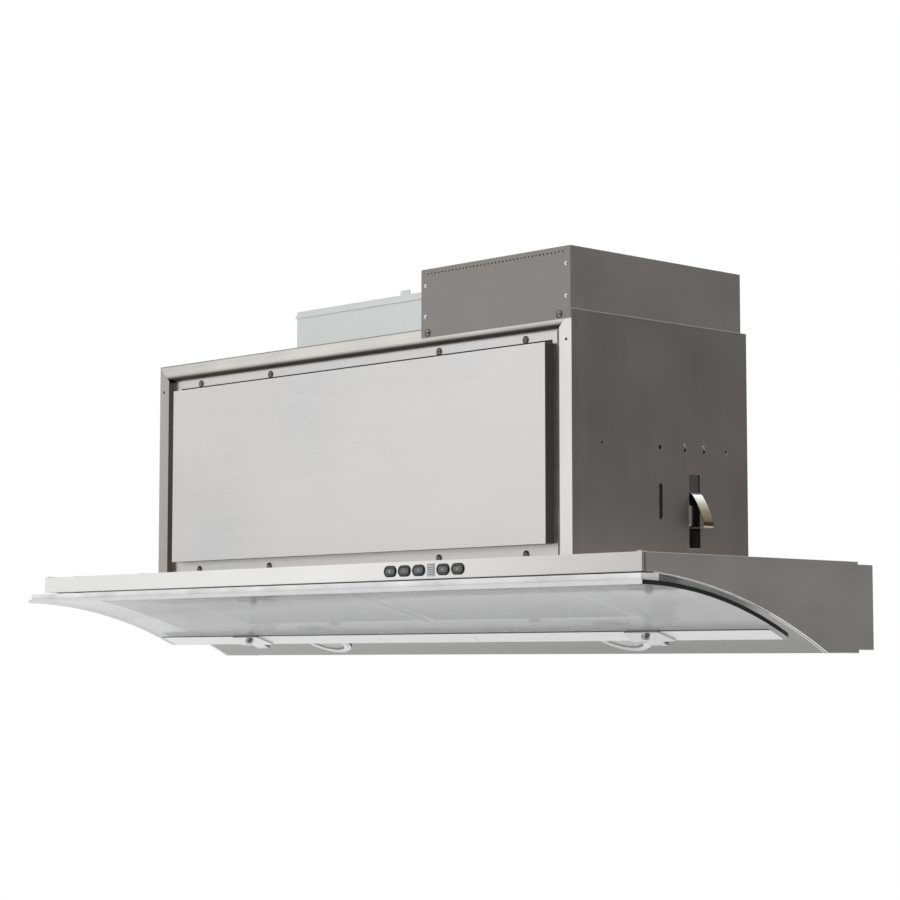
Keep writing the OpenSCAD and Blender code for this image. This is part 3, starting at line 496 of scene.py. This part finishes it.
class Arc:
    """Arc of the Y-Z plane that runs from a front point to a rear point and bulges up."""

    def __init__(self, front, rear, radius):
        middle = ((front[0] + rear[0]) / 2, (front[1] + rear[1]) / 2)
        dy, dz = rear[0] - front[0], rear[1] - front[1]
        length = math.hypot(dy, dz)
        height = math.sqrt(radius**2 - length**2 / 4)
        self.y = middle[0] + height * dz / length
        self.z = middle[1] - height * dy / length
        self.radius = radius

    def at(self, y, lift=0.0):
        """Point (y, z) of the arc lifted outwards, over the arc's point at y."""
        slope = math.asin((y - self.y) / self.radius)
        return (
            self.y + (self.radius + lift) * math.sin(slope),
            self.z + (self.radius + lift) * math.cos(slope),
        )

    def slope(self, y):
        return math.asin((y - self.y) / self.radius)


PAN = Arc((FRONT_Y + 0.002, -RAIL_H + 0.0009), (0.096, BOTTOM_Z), 0.656)
GLASS_REAR_Y = FRONT_Y + 0.193
GLASS = Arc((FRONT_Y - 0.014, BOTTOM_Z + 0.0588), (GLASS_REAR_Y, BOTTOM_Z + 0.012), 0.500)

# ---------------------------------------------------------------- mesh tools


def piece(name, verts, faces, material, body, slot, stands_for=(), smooth=40, bevel=0.0):
    """A closed mesh that rides on a body; smooth is the angle in degrees above which edges stay sharp."""
    mesh = bpy.data.meshes.new(name)
    mesh.from_pydata([tuple(v) for v in verts], [], faces)
    work = bmesh.new()
    work.from_mesh(mesh)
    bmesh.ops.remove_doubles(work, verts=work.verts, dist=1e-7)
    bmesh.ops.recalc_face_normals(work, faces=work.faces)
    work.to_mesh(mesh)
    work.free()
    mesh.shade_smooth()
    mesh.set_sharp_from_angle(angle=math.radians(smooth))
    mesh.materials.append(material)
    made = bpy.data.objects.new(name, mesh)
    bpy.context.scene.collection.objects.link(made)
    if bevel:
        rounding = made.modifiers.new("rounding", "BEVEL")
        rounding.width = bevel
        rounding.segments = 2
        rounding.limit_method = "ANGLE"
        rounding.angle_limit = math.radians(35)
    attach(made, body)
    if stands_for:
        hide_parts(*stands_for)
    return made


def join(parts):
    """Several (verts, faces) in one."""
    verts, faces = [], []
    for some_verts, some_faces in parts:
        base = len(verts)
        verts += [tuple(v) for v in some_verts]
        faces += [tuple(i + base for i in face) for face in some_faces]
    return verts, faces


def moved(part, matrix):
    verts, faces = part
    return [matrix @ Vector(v) for v in verts], faces


def loft(rings):
    """Closed skin over rings of the same number of points, with flat ends."""
    n = len(rings[0])
    verts = [v for ring in rings for v in ring]
    faces = []
    for r in range(len(rings) - 1):
        for i in range(n):
            k = (i + 1) % n
            faces.append((r * n + i, r * n + k, (r + 1) * n + k, (r + 1) * n + i))
    faces.append(tuple(range(n - 1, -1, -1)))
    faces.append(tuple((len(rings) - 1) * n + i for i in range(n)))
    return verts, faces


def open_ring(rings):
    """Skin of a hoop: each ring of points joins the next, and the last joins the first."""
    n = len(rings[0])
    verts = [v for ring in rings for v in ring]
    faces = []
    for r in range(len(rings)):
        s = (r + 1) % len(rings)
        for i in range(n):
            k = (i + 1) % n
            faces.append((r * n + i, r * n + k, s * n + k, s * n + i))
    return verts, faces


def lathe(profile, steps=40):
    """Solid turned about Z; the profile runs from axis to axis as (radius, height)."""
    verts, faces = [], []
    for i in range(steps):
        angle = 2 * math.pi * i / steps
        verts += [(r * math.cos(angle), r * math.sin(angle), z) for r, z in profile]
    n = len(profile)
    for i in range(steps):
        k = (i + 1) % steps
        for j in range(n - 1):
            face = [i * n + j, i * n + j + 1, k * n + j + 1, k * n + j]
            if profile[j][0] == 0:
                face = [i * n, i * n + 1, k * n + 1]
            elif profile[j + 1][0] == 0:
                face = [i * n + j, i * n + j + 1, k * n + j]
            faces.append(tuple(face))
    return verts, faces


def prism(outline, place):
    """Outline of (u, v) pairs between two depths; place turns (u, v, depth end) into a point."""
    return loft([[place(u, v, end) for u, v in outline] for end in (0, 1)])


def rounded_path(points, radius, steps=8):
    """Polyline with an arc at each inner corner."""
    path = [Vector(points[0])]
    for a, b, c in zip(points, points[1:], points[2:]):
        a, b, c = Vector(a), Vector(b), Vector(c)
        reach = min(radius, (b - a).length * 0.48, (c - b).length * 0.48)
        p, q = b + (a - b).normalized() * reach, b + (c - b).normalized() * reach
        shares = [i / steps for i in range(steps + 1)]
        path += [p * (1 - t) ** 2 + b * 2 * t * (1 - t) + q * t**2 for t in shares]
    path.append(Vector(points[-1]))
    return path


def strip_outline(path, thickness):
    """Closed outline of a strip of sheet along a path in a plane."""
    left, right = [], []
    for i, p in enumerate(path):
        ahead = (path[min(i + 1, len(path) - 1)] - path[max(i - 1, 0)]).normalized()
        across = Vector((-ahead.y, ahead.x)) * thickness / 2
        left.append(p + across)
        right.append(p - across)
    return left + right[::-1]


def arc_strip(arc, y0, y1, lift0, lift1, x0, x1, steps=48):
    """Bent bar that follows an arc, between two lifts above it and two places along X."""
    ys = [y0 + (y1 - y0) * i / steps for i in range(steps + 1)]
    rings = []
    for y in ys:
        low, high = arc.at(y, lift0), arc.at(y, lift1)
        rings.append([(x0, *low), (x1, *low), (x1, *high), (x0, *high)])
    return loft(rings)


def box(low, high):
    rings = [
        [(low[0], low[1], z), (high[0], low[1], z), (high[0], high[1], z), (low[0], high[1], z)]
        for z in (low[2], high[2])
    ]
    return loft(rings)


def bead(path, radius, sides=8):
    """Round bead along points of a plane parallel to Y-Z."""
    rings = []
    for i, p in enumerate(path):
        ahead = (Vector(path[min(i + 1, len(path) - 1)]) - Vector(path[max(i - 1, 0)])).normalized()
        up = Vector((1, 0, 0)).cross(ahead).normalized()
        angles = [2 * math.pi * k / sides for k in range(sides)]
        rings.append(
            [Vector(p) + radius * (math.cos(a) * Vector((1, 0, 0)) + math.sin(a) * up) for a in angles]
        )
    return loft(rings)


# ---------------------------------------------------------------- glass panel


def make_glass():
    """The curved pane, dark along its right edge and white along its front."""
    mesh = nodes["glass_panel"].data.copy()
    mesh.name = "glass_pane"
    mesh.materials.clear()
    for material in (MATERIALS["panel_glass"], EDGE_DARK, EDGE_WHITE):
        mesh.materials.append(material)
    work = bmesh.new()
    work.from_mesh(mesh)
    bmesh.ops.remove_doubles(work, verts=work.verts, dist=1e-6)
    bmesh.ops.dissolve_limit(work, angle_limit=math.radians(0.5), verts=work.verts, edges=work.edges)
    for face in work.faces:
        normal = face.normal
        middle = face.calc_center_median()
        hole = abs(abs(middle.x) - CLIP_X) < 0.006
        face.material_index = 0
        if not hole and normal.x > 0.3:
            face.material_index = 1
        elif not hole and normal.y < -0.6 and middle.y < FRONT_Y - 0.01:
            face.material_index = 2
    work.to_mesh(mesh)
    work.free()
    mesh.shade_smooth()
    mesh.set_sharp_from_angle(angle=math.radians(40))
    pane = bpy.data.objects.new("glass_pane", mesh)
    bpy.context.scene.collection.objects.link(pane)
    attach(pane, "glass")
    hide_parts("glass_panel")
    x = GLASS_W / 2 - 0.008
    front = GLASS_REAR_Y - 0.020
    # black strip of painted shadow along the front edge of the white band
    band_shadow = arc_strip(GLASS, front - 0.0022, front - 0.0002, -0.00016, -0.00003, -x, x, 4)
    piece("glass_band_shadow", *band_shadow, GAP_BLACK, "glass", "magnet")
    band = arc_strip(GLASS, front, GLASS_REAR_Y - 0.0008, -0.00016, -0.00003, -x, x, 16)
    piece("glass_band", *band, EDGE_WHITE, "glass", "bar_white")


# ---------------------------------------------------------------- hems, folds and seams


def make_hems():
    """Two bright folds under each side of the canopy, with a black strip of painted shade in the gap between
    them.
    """
    y0 = FRONT_Y + 0.016
    ys = [y0 + (0.096 - y0) * i / 60 for i in range(61)]
    for side, word in ((-1, "left"), (1, "right")):
        curve = [(y, PAN.at(y, -0.0001)[1]) for y in ys] + [(SIDE_REAR_Y - 0.001, BOTTOM_Z - 0.0001)]
        folds = []
        for inset, radius in ((0.0005, 0.0006), (0.0036, 0.0006)):
            folds.append(bead([(side * (HALF_W - inset), y, z) for y, z in curve], radius))
        piece("hem_folds_" + word, *join(folds), POLISHED, "hood", "rail_steel")
        # black strip of painted shade in the gap between the two folds
        dark = [side * (HALF_W - 0.0013), side * (HALF_W - 0.0029)]
        seam = arc_strip(PAN, y0, 0.096, -0.0003, 0.0003, min(dark), max(dark), 60)
        piece("hem_gap_shade_" + word, *seam, GAP_BLACK, "hood", "magnet")


def make_rail_ends():
    """The rail's short return round each corner, with the seam behind it."""
    for side, word in ((-1, "left"), (1, "right")):
        x0, x1 = sorted((side * (HALF_W - 0.0001), side * (HALF_W + 0.0002)))
        gap = box((x0, FRONT_Y + 0.0038, -RAIL_H + 0.0004), (x1, FRONT_Y + 0.0045, -0.0006))
        piece("rail_seam_" + word, *gap, GAP_BLACK, "hood", "magnet")
        lines = []
        for y in (FRONT_Y + 0.0003, FRONT_Y + 0.0049):
            line = [(side * (HALF_W - 0.0001), y, z) for z in (-0.0006, -0.009, -RAIL_H + 0.0006)]
            lines.append(bead(line, 0.00038))
        piece("rail_return_" + word, *join(lines), POLISHED, "hood", "rail_steel")
    # shadow gap between the rail's lower edge and the pan
    reach = HALF_W - 0.006
    reveal = box((-reach, FRONT_Y + 0.0128, -RAIL_H - 0.0002), (reach, FRONT_Y + 0.0142, -RAIL_H + 0.0007))
    piece("rail_reveal", *reveal, GAP_BLACK, "hood", "magnet")


def make_box_lines():
    """Shadow line above the access panel's field, and dark steel as painted shade along the top of the rolled
    rail.
    """
    field_top = BOX_H - 0.030
    half = 0.2875
    line = box((-half, FRAME_Y - 0.0012, field_top - 0.0002), (half, FRAME_Y - 0.0009, field_top + 0.0034))
    piece("panel_shadow_line", *line, GAP_BLACK, "hood", "magnet")
    # dark strip of painted shade along the top of the rolled rail
    top = box(
        (-BOX_X + 0.0003, BOX_FRONT_Y - 0.00015, BOX_H - 0.0009),
        (BOX_X - 0.196, BOX_FRONT_Y + 0.0005, BOX_H + 0.0001),
    )
    piece("rail_top_edge", *top, SHADED_PLATE, "hood", "box_steel")


def make_hole_shades():
    """Dark space seen through the small holes and the slot of each box side."""
    holes = ((0.100, 0.111, 0.0018), (0.184, 0.112, 0.0028), (0.284, 0.113, 0.0018),
             (0.221, 0.111, 0.0022), (0.250, 0.111, 0.0022))
    turn = Matrix.Rotation(math.radians(90), 4, "Y")
    for side, word in ((-1, "left"), (1, "right")):
        parts = []
        for behind, z, radius in holes:
            edge = radius + 0.0008
            disc = lathe([(0.0, -0.0001), (edge, -0.0001), (edge, 0.0001), (0.0, 0.0001)], 24)
            place = Matrix.Translation((side * (BOX_X - SHEET_T - 0.0002), FRONT_Y + behind, z))
            parts.append(moved(disc, place @ turn))
        x0, x1 = sorted((side * (BOX_X - SHEET_T - 0.0003), side * (BOX_X - SHEET_T - 0.0001)))
        parts.append(box((x0, FRONT_Y + 0.1805, 0.040), (x1, FRONT_Y + 0.1885, 0.078)))
        piece("hole_shade_" + word, *join(parts), GAP_BLACK, "hood", "magnet")


# ---------------------------------------------------------------- buttons and display

BUTTON_Z = -0.0089
BUTTON_X = (0.1302, 0.1504, 0.1706, 0.2044, 0.2246)
BUTTON_W = 0.0164
BUTTON_H = 0.0092
# growth past the button's outline and height above the rail, round the section of the gap ring
GAP_RING = ((0.00095, -0.0001), (0.00095, 0.00025), (0.0005, 0.0003), (0.0003, 0.0), (0.0003, -0.0001))


def oval(width, height, grow, steps=16):
    """Oval outline with round ends as (u, v) pairs."""
    radius = height / 2 + grow
    reach = (width - height) / 2
    points = []
    for side in (1, -1):
        for i in range(steps + 1):
            angle = math.pi * (i / steps - 0.5) + (0 if side > 0 else math.pi)
            points.append((side * reach + radius * math.cos(angle), radius * math.sin(angle)))
    return points


def oval_loft(x, z, steps):
    """Skin through ovals given as (grow, y)."""
    return loft([[(x + u, y, z + v) for u, v in oval(BUTTON_W, BUTTON_H, grow)] for grow, y in steps])


def mark(kind, x, y, z):
    """Plain raised sign: a disc, one to three bars, or a cross."""
    t = 0.00012
    if kind == "disc":
        angles = [a * math.pi / 12 for a in range(24)]
        outer = [(0.0013 * math.cos(a), 0.0013 * math.sin(a)) for a in angles]
        return [loft([[(x + u, y + d, z + v) for u, v in outer] for d in (-t, 0.0002)])]
    if kind == "cross":
        return [
            box((x - 0.0016, y - t, z - 0.0003), (x + 0.0016, y + 0.0002, z + 0.0003)),
            box((x - 0.0003, y - t * 1.1, z - 0.0016), (x + 0.0003, y + 0.0002, z + 0.0016)),
        ]
    bars = []
    for i in range(kind):
        bx = x + (i - (kind - 1) / 2) * 0.0013
        bars.append(box((bx - 0.0003, y - t, z - 0.001), (bx + 0.0003, y + 0.0002, z + 0.001 + 0.0003 * i)))
    return bars


def make_buttons():
    face_y = FRONT_Y - 0.0014
    for i, (x, kind) in enumerate(zip(BUTTON_X, ("disc", 1, 2, 3, "cross"))):
        body = "button_%d" % (i + 1)
        rim = oval_loft(
            x,
            BUTTON_Z,
            [(0.0, FRONT_Y + 0.0028), (0.0, face_y + 0.0007), (-0.0002, face_y + 0.0002), (-0.0006, face_y),
             (-0.0011, face_y + 0.0001), (-0.0015, face_y + 0.0006), (-0.0017, face_y + 0.0009)],
        )
        flange = oval_loft(x, BUTTON_Z, [(0.0006, FRONT_Y + 0.0015), (0.0006, FRONT_Y + 0.0028)])
        stem = box(
            (x - 0.003, FRONT_Y + 0.0027, BUTTON_Z - 0.0015), (x + 0.003, FRONT_Y + 0.0102, BUTTON_Z + 0.0015)
        )
        cap = join([rim, flange, stem])
        piece(body + "_cap", *cap, MATERIALS["button_graphite"], body, "button_graphite",
              stands_for=[body], smooth=50)
        key = oval_loft(
            x,
            BUTTON_Z,
            [(-0.0019, face_y + 0.0012), (-0.0019, face_y + 0.0006), (-0.0022, face_y + 0.0004),
             (-0.0032, face_y + 0.0003)],
        )
        piece(body + "_key", *key, KEY_DARK, body, "button_graphite", smooth=50)
        sign = join(mark(kind, x, face_y + 0.0003, BUTTON_Z))
        piece(body + "_mark", *sign, KEY_GREY, body, "display_lens")
        # black gap ring round the button, set into the rail
        collar = open_ring(
            [
                [(x + u, FRONT_Y - d, BUTTON_Z + v) for u, v in oval(BUTTON_W, BUTTON_H, grow)]
                for grow, d in GAP_RING
            ]
        )
        piece(body + "_gap", *collar, GAP_BLACK, "hood", "magnet")


def make_display():
    x, w, h = (BUTTON_X[2] + BUTTON_X[3]) / 2, 0.0092, 0.0122
    y = FRONT_Y - 0.0005
    bars = []
    for i in range(5):
        z = BUTTON_Z - h / 2 + 0.0014 + i * 0.0023
        bars.append(box((x - w / 2 + 0.0012, y - 0.00015, z), (x + w / 2 - 0.0012, y + 0.0002, z + 0.0007)))
    piece("display_bars", *join(bars), MATERIALS["motor_paint"], "hood", "display_lens")
    frame_bars = [
        box((x - w / 2, y - 0.0002, BUTTON_Z - h / 2), (x - w / 2 + 0.0006, y + 0.0002, BUTTON_Z + h / 2)),
        box((x + w / 2 - 0.0006, y - 0.0002, BUTTON_Z - h / 2), (x + w / 2, y + 0.0002, BUTTON_Z + h / 2)),
    ]
    piece("display_rim", *join(frame_bars), KEY_GREY, "hood", "display_lens")


# ---------------------------------------------------------------- screws


def screw_head():
    """Domed head with a flange, on its shank, pointing towards +Z; make_screws cuts its cross recess."""
    dome = [(0.0, -0.0024)]
    for i in range(1, 9):
        angle = i / 8 * math.pi / 2
        dome.append((0.0029 * math.sin(angle), -0.0007 - 0.0017 * math.cos(angle)))
    dome += [(0.0034, -0.00055), (0.0034, -0.0001), (0.0019, 0.0), (0.0019, 0.007), (0.0, 0.0078)]
    return lathe(dome, 36)


def cut(solid, cutters):
    """Solid less some cutters, as (verts, faces)."""
    made = []
    for part in (solid, join(cutters)):
        mesh = bpy.data.meshes.new("cut")
        mesh.from_pydata([tuple(v) for v in part[0]], [], part[1])
        work = bmesh.new()
        work.from_mesh(mesh)
        bmesh.ops.remove_doubles(work, verts=work.verts, dist=1e-7)
        bmesh.ops.recalc_face_normals(work, faces=work.faces)
        work.to_mesh(mesh)
        work.free()
        holder = bpy.data.objects.new("cut", mesh)
        bpy.context.scene.collection.objects.link(holder)
        made.append(holder)
    boolean = made[0].modifiers.new("cut", "BOOLEAN")
    boolean.operation = "DIFFERENCE"
    boolean.solver = "EXACT"
    boolean.use_self = True
    boolean.object = made[1]
    done = bpy.data.meshes.new_from_object(made[0].evaluated_get(bpy.context.evaluated_depsgraph_get()))
    result = [tuple(v.co) for v in done.vertices], [tuple(f.vertices) for f in done.polygons]
    for holder in made:
        bpy.data.objects.remove(holder)
    return result


def make_screws():
    arms = [
        box((-0.0017, -0.00032, -0.003), (0.0017, 0.00032, -0.0013)),
        box((-0.00032, -0.0017, -0.003), (0.00032, 0.0017, -0.0012)),
    ]
    head = cut(screw_head(), arms)
    heights = (BOX_H - 0.0235, 0.0058)
    places = [(x, FRAME_Y - 0.001, z) for x in (-0.252, -0.1315, 0.1315, 0.252) for z in heights]
    places += [(x, BOX_FRONT_Y - 0.001, BOX_H - 0.0045) for x in (BOX_X - 0.196, BOX_X - 0.015)]
    parts, washers = [], []
    ring = lathe([(0.0, -0.0005), (0.0039, -0.0005), (0.0039, 0.0), (0.0, 0.0)], 32)
    for i, place in enumerate(places):
        turn = Matrix.Rotation(math.radians(-90), 4, "X") @ Matrix.Rotation(0.7 * i, 4, "Z")
        parts.append(moved(head, Matrix.Translation(place) @ turn))
        washers.append(moved(ring, Matrix.Translation(place) @ turn))
    piece("screw_washers", *join(washers), GAP_BLACK, "hood", "screw_black")
    piece("cross_head_screws", *join(parts), MATERIALS["screw_black"], "hood", "screw_black",
          stands_for=["sheet_screws"])


# ---------------------------------------------------------------- spring clips

SLOT_Y = 0.065
SPRING_W = 0.0146
SPRING_T = 0.0009


def make_springs():
    """Bent spring strips, and the plate behind the top of each slot that they bend from."""
    for side, word in ((-1, "left"), (1, "right")):
        path = rounded_path(
            [(BOX_X - 0.0028, 0.0690), (BOX_X + 0.0022, 0.0688), (BOX_X + 0.0085, 0.0600),
             (BOX_X + 0.0150, 0.0470), (BOX_X + 0.0194, 0.0346), (BOX_X - 0.0065, 0.0346),
             (BOX_X - 0.0065, 0.0576)],
            0.006,
            6,
        )
        outline = [(p.x, p.y) for p in strip_outline(path, SPRING_T)]
        strip = prism(outline, lambda u, v, end: (side * u, SLOT_Y + (end - 0.5) * SPRING_W, v))
        piece("spring_strip_" + word, *strip, SPRING_LEAF, "spring_" + word, "spring_steel",
              stands_for=["spring_clip_" + word], bevel=0.00015)
        # anchor plate in dark steel: painted shade within the box
        x0, x1 = sorted((side * (BOX_X - 0.0012), side * (BOX_X - 0.0004)))
        plate = box((x0, SLOT_Y - 0.0086, 0.0705), (x1, SLOT_Y + 0.0058, 0.0878))
        piece("spring_anchor_" + word, *plate, SHADED_PLATE, "hood", "spring_steel", bevel=0.0002)
        x0, x1 = sorted((side * (BOX_X - 0.0014), side * (BOX_X - 0.0007)))
        shade = box((x0, SLOT_Y + 0.0058, 0.0705), (x1, SLOT_Y + 0.0087, 0.0878))
        piece("spring_anchor_gap_" + word, *shade, GAP_BLACK, "hood", "magnet")


# ---------------------------------------------------------------- grease filters

FILTER_Y = (FRONT_Y + 0.071, FRONT_Y + 0.182)
FILTER_X = 0.154
FILTER_MESH_W = 0.276


def expanded_sheet(width, length, z, pitch=0.009, rise=0.0042, flip=False):
    """Expanded metal: zigzag strands that meet at their corners, each slightly twisted."""
    strand, thick = 0.0011, 0.0004
    columns = int(width / (pitch / 2))
    rows = int(length / rise)
    parts = []
    for row in range(rows):
        y = -length / 2 + (row + 0.5) * rise
        phase = (row + flip) % 2
        path = []
        for i in range(columns + 1):
            up = 1 if (i + phase) % 2 else -1
            path.append((-width / 2 + i * width / columns, y + up * rise * 0.46, up))
        rings = []
        for x, py, up in path:
            rings.append(
                [(x, py - strand / 2, z - up * 0.0003), (x, py + strand / 2, z + up * 0.0003),
                 (x, py + strand / 2, z + thick + up * 0.0003), (x, py - strand / 2, z + thick - up * 0.0003)]
            )
        parts.append(loft(rings))
    return join(parts)


def make_filters():
    z0, z1 = PAN.at(FILTER_Y[0])[1], PAN.at(FILTER_Y[1])[1]
    tilt = math.atan2(z1 - z0, FILTER_Y[1] - FILTER_Y[0])
    length = math.hypot(z1 - z0, FILTER_Y[1] - FILTER_Y[0]) - 0.022
    for side, word in ((-1, "left"), (1, "right")):
        middle = (side * FILTER_X, sum(FILTER_Y) / 2, (z0 + z1) / 2)
        place = Matrix.Translation(middle) @ Matrix.Rotation(tilt, 4, "X")
        layers = join(
            [
                expanded_sheet(FILTER_MESH_W, length, -0.0019),
                expanded_sheet(FILTER_MESH_W, length, 0.0006, 0.0075, 0.0036, flip=True),
                expanded_sheet(FILTER_MESH_W, length, 0.0034, 0.009, 0.0040),
            ]
        )
        piece("filter_layers_" + word, *moved(layers, place), MATERIALS["filter_mesh"], "hood",
              "filter_mesh", stands_for=["filter_mesh_" + word], smooth=60)


# ---------------------------------------------------------------- lamps


LAMP_X = 0.227
LAMP_Y = FRONT_Y + 0.226


def make_lenses():
    """Pressed glass discs with ring ribs on the room side."""
    profile = [(0.0, -0.0024)]
    for i in range(1, 24):
        profile.append((0.001 * i, -0.0024 - 0.0003 * math.cos(i * math.pi)))
    profile += [(0.0242, -0.0024), (0.0249, -0.0018), (0.0249, -0.0004), (0.0244, -0.0002), (0.0, -0.0002)]
    lens = lathe(profile, 48)
    for side, word in ((-1, "left"), (1, "right")):
        py, pz = PAN.at(LAMP_Y)
        place = Matrix.Translation((side * LAMP_X, py, pz)) @ Matrix.Rotation(-PAN.slope(LAMP_Y), 4, "X")
        piece("lamp_glass_" + word, *moved(lens, place), MATERIALS["lamp_glass"], "hood", "lamp_glass",
              stands_for=["lamp_lens_" + word], smooth=60)


def dress_cad_nodes():
    """Every CAD node that shows gets the material of its slot."""
    for name, node in nodes.items():
        node.data.materials.clear()
        node.data.materials.append(MATERIALS[slot_of[name]])


dress_cad_nodes()
# CAD nodes whose materials carry painted light and shade
finishes_with_painted_light = {
    "front_frame": ROLLED,
    "box_side_left": SHADED_LEFT_SHEET,
    "box_side_right": LIT_RIGHT_SHEET,
    "front_rail": SHADED_RAIL,
}
for name, finish in finishes_with_painted_light.items():
    nodes[name].data.materials[0] = finish
make_glass()
make_hems()
make_rail_ends()
make_box_lines()
make_hole_shades()
make_buttons()
make_display()
make_screws()
make_springs()
make_filters()
make_lenses()
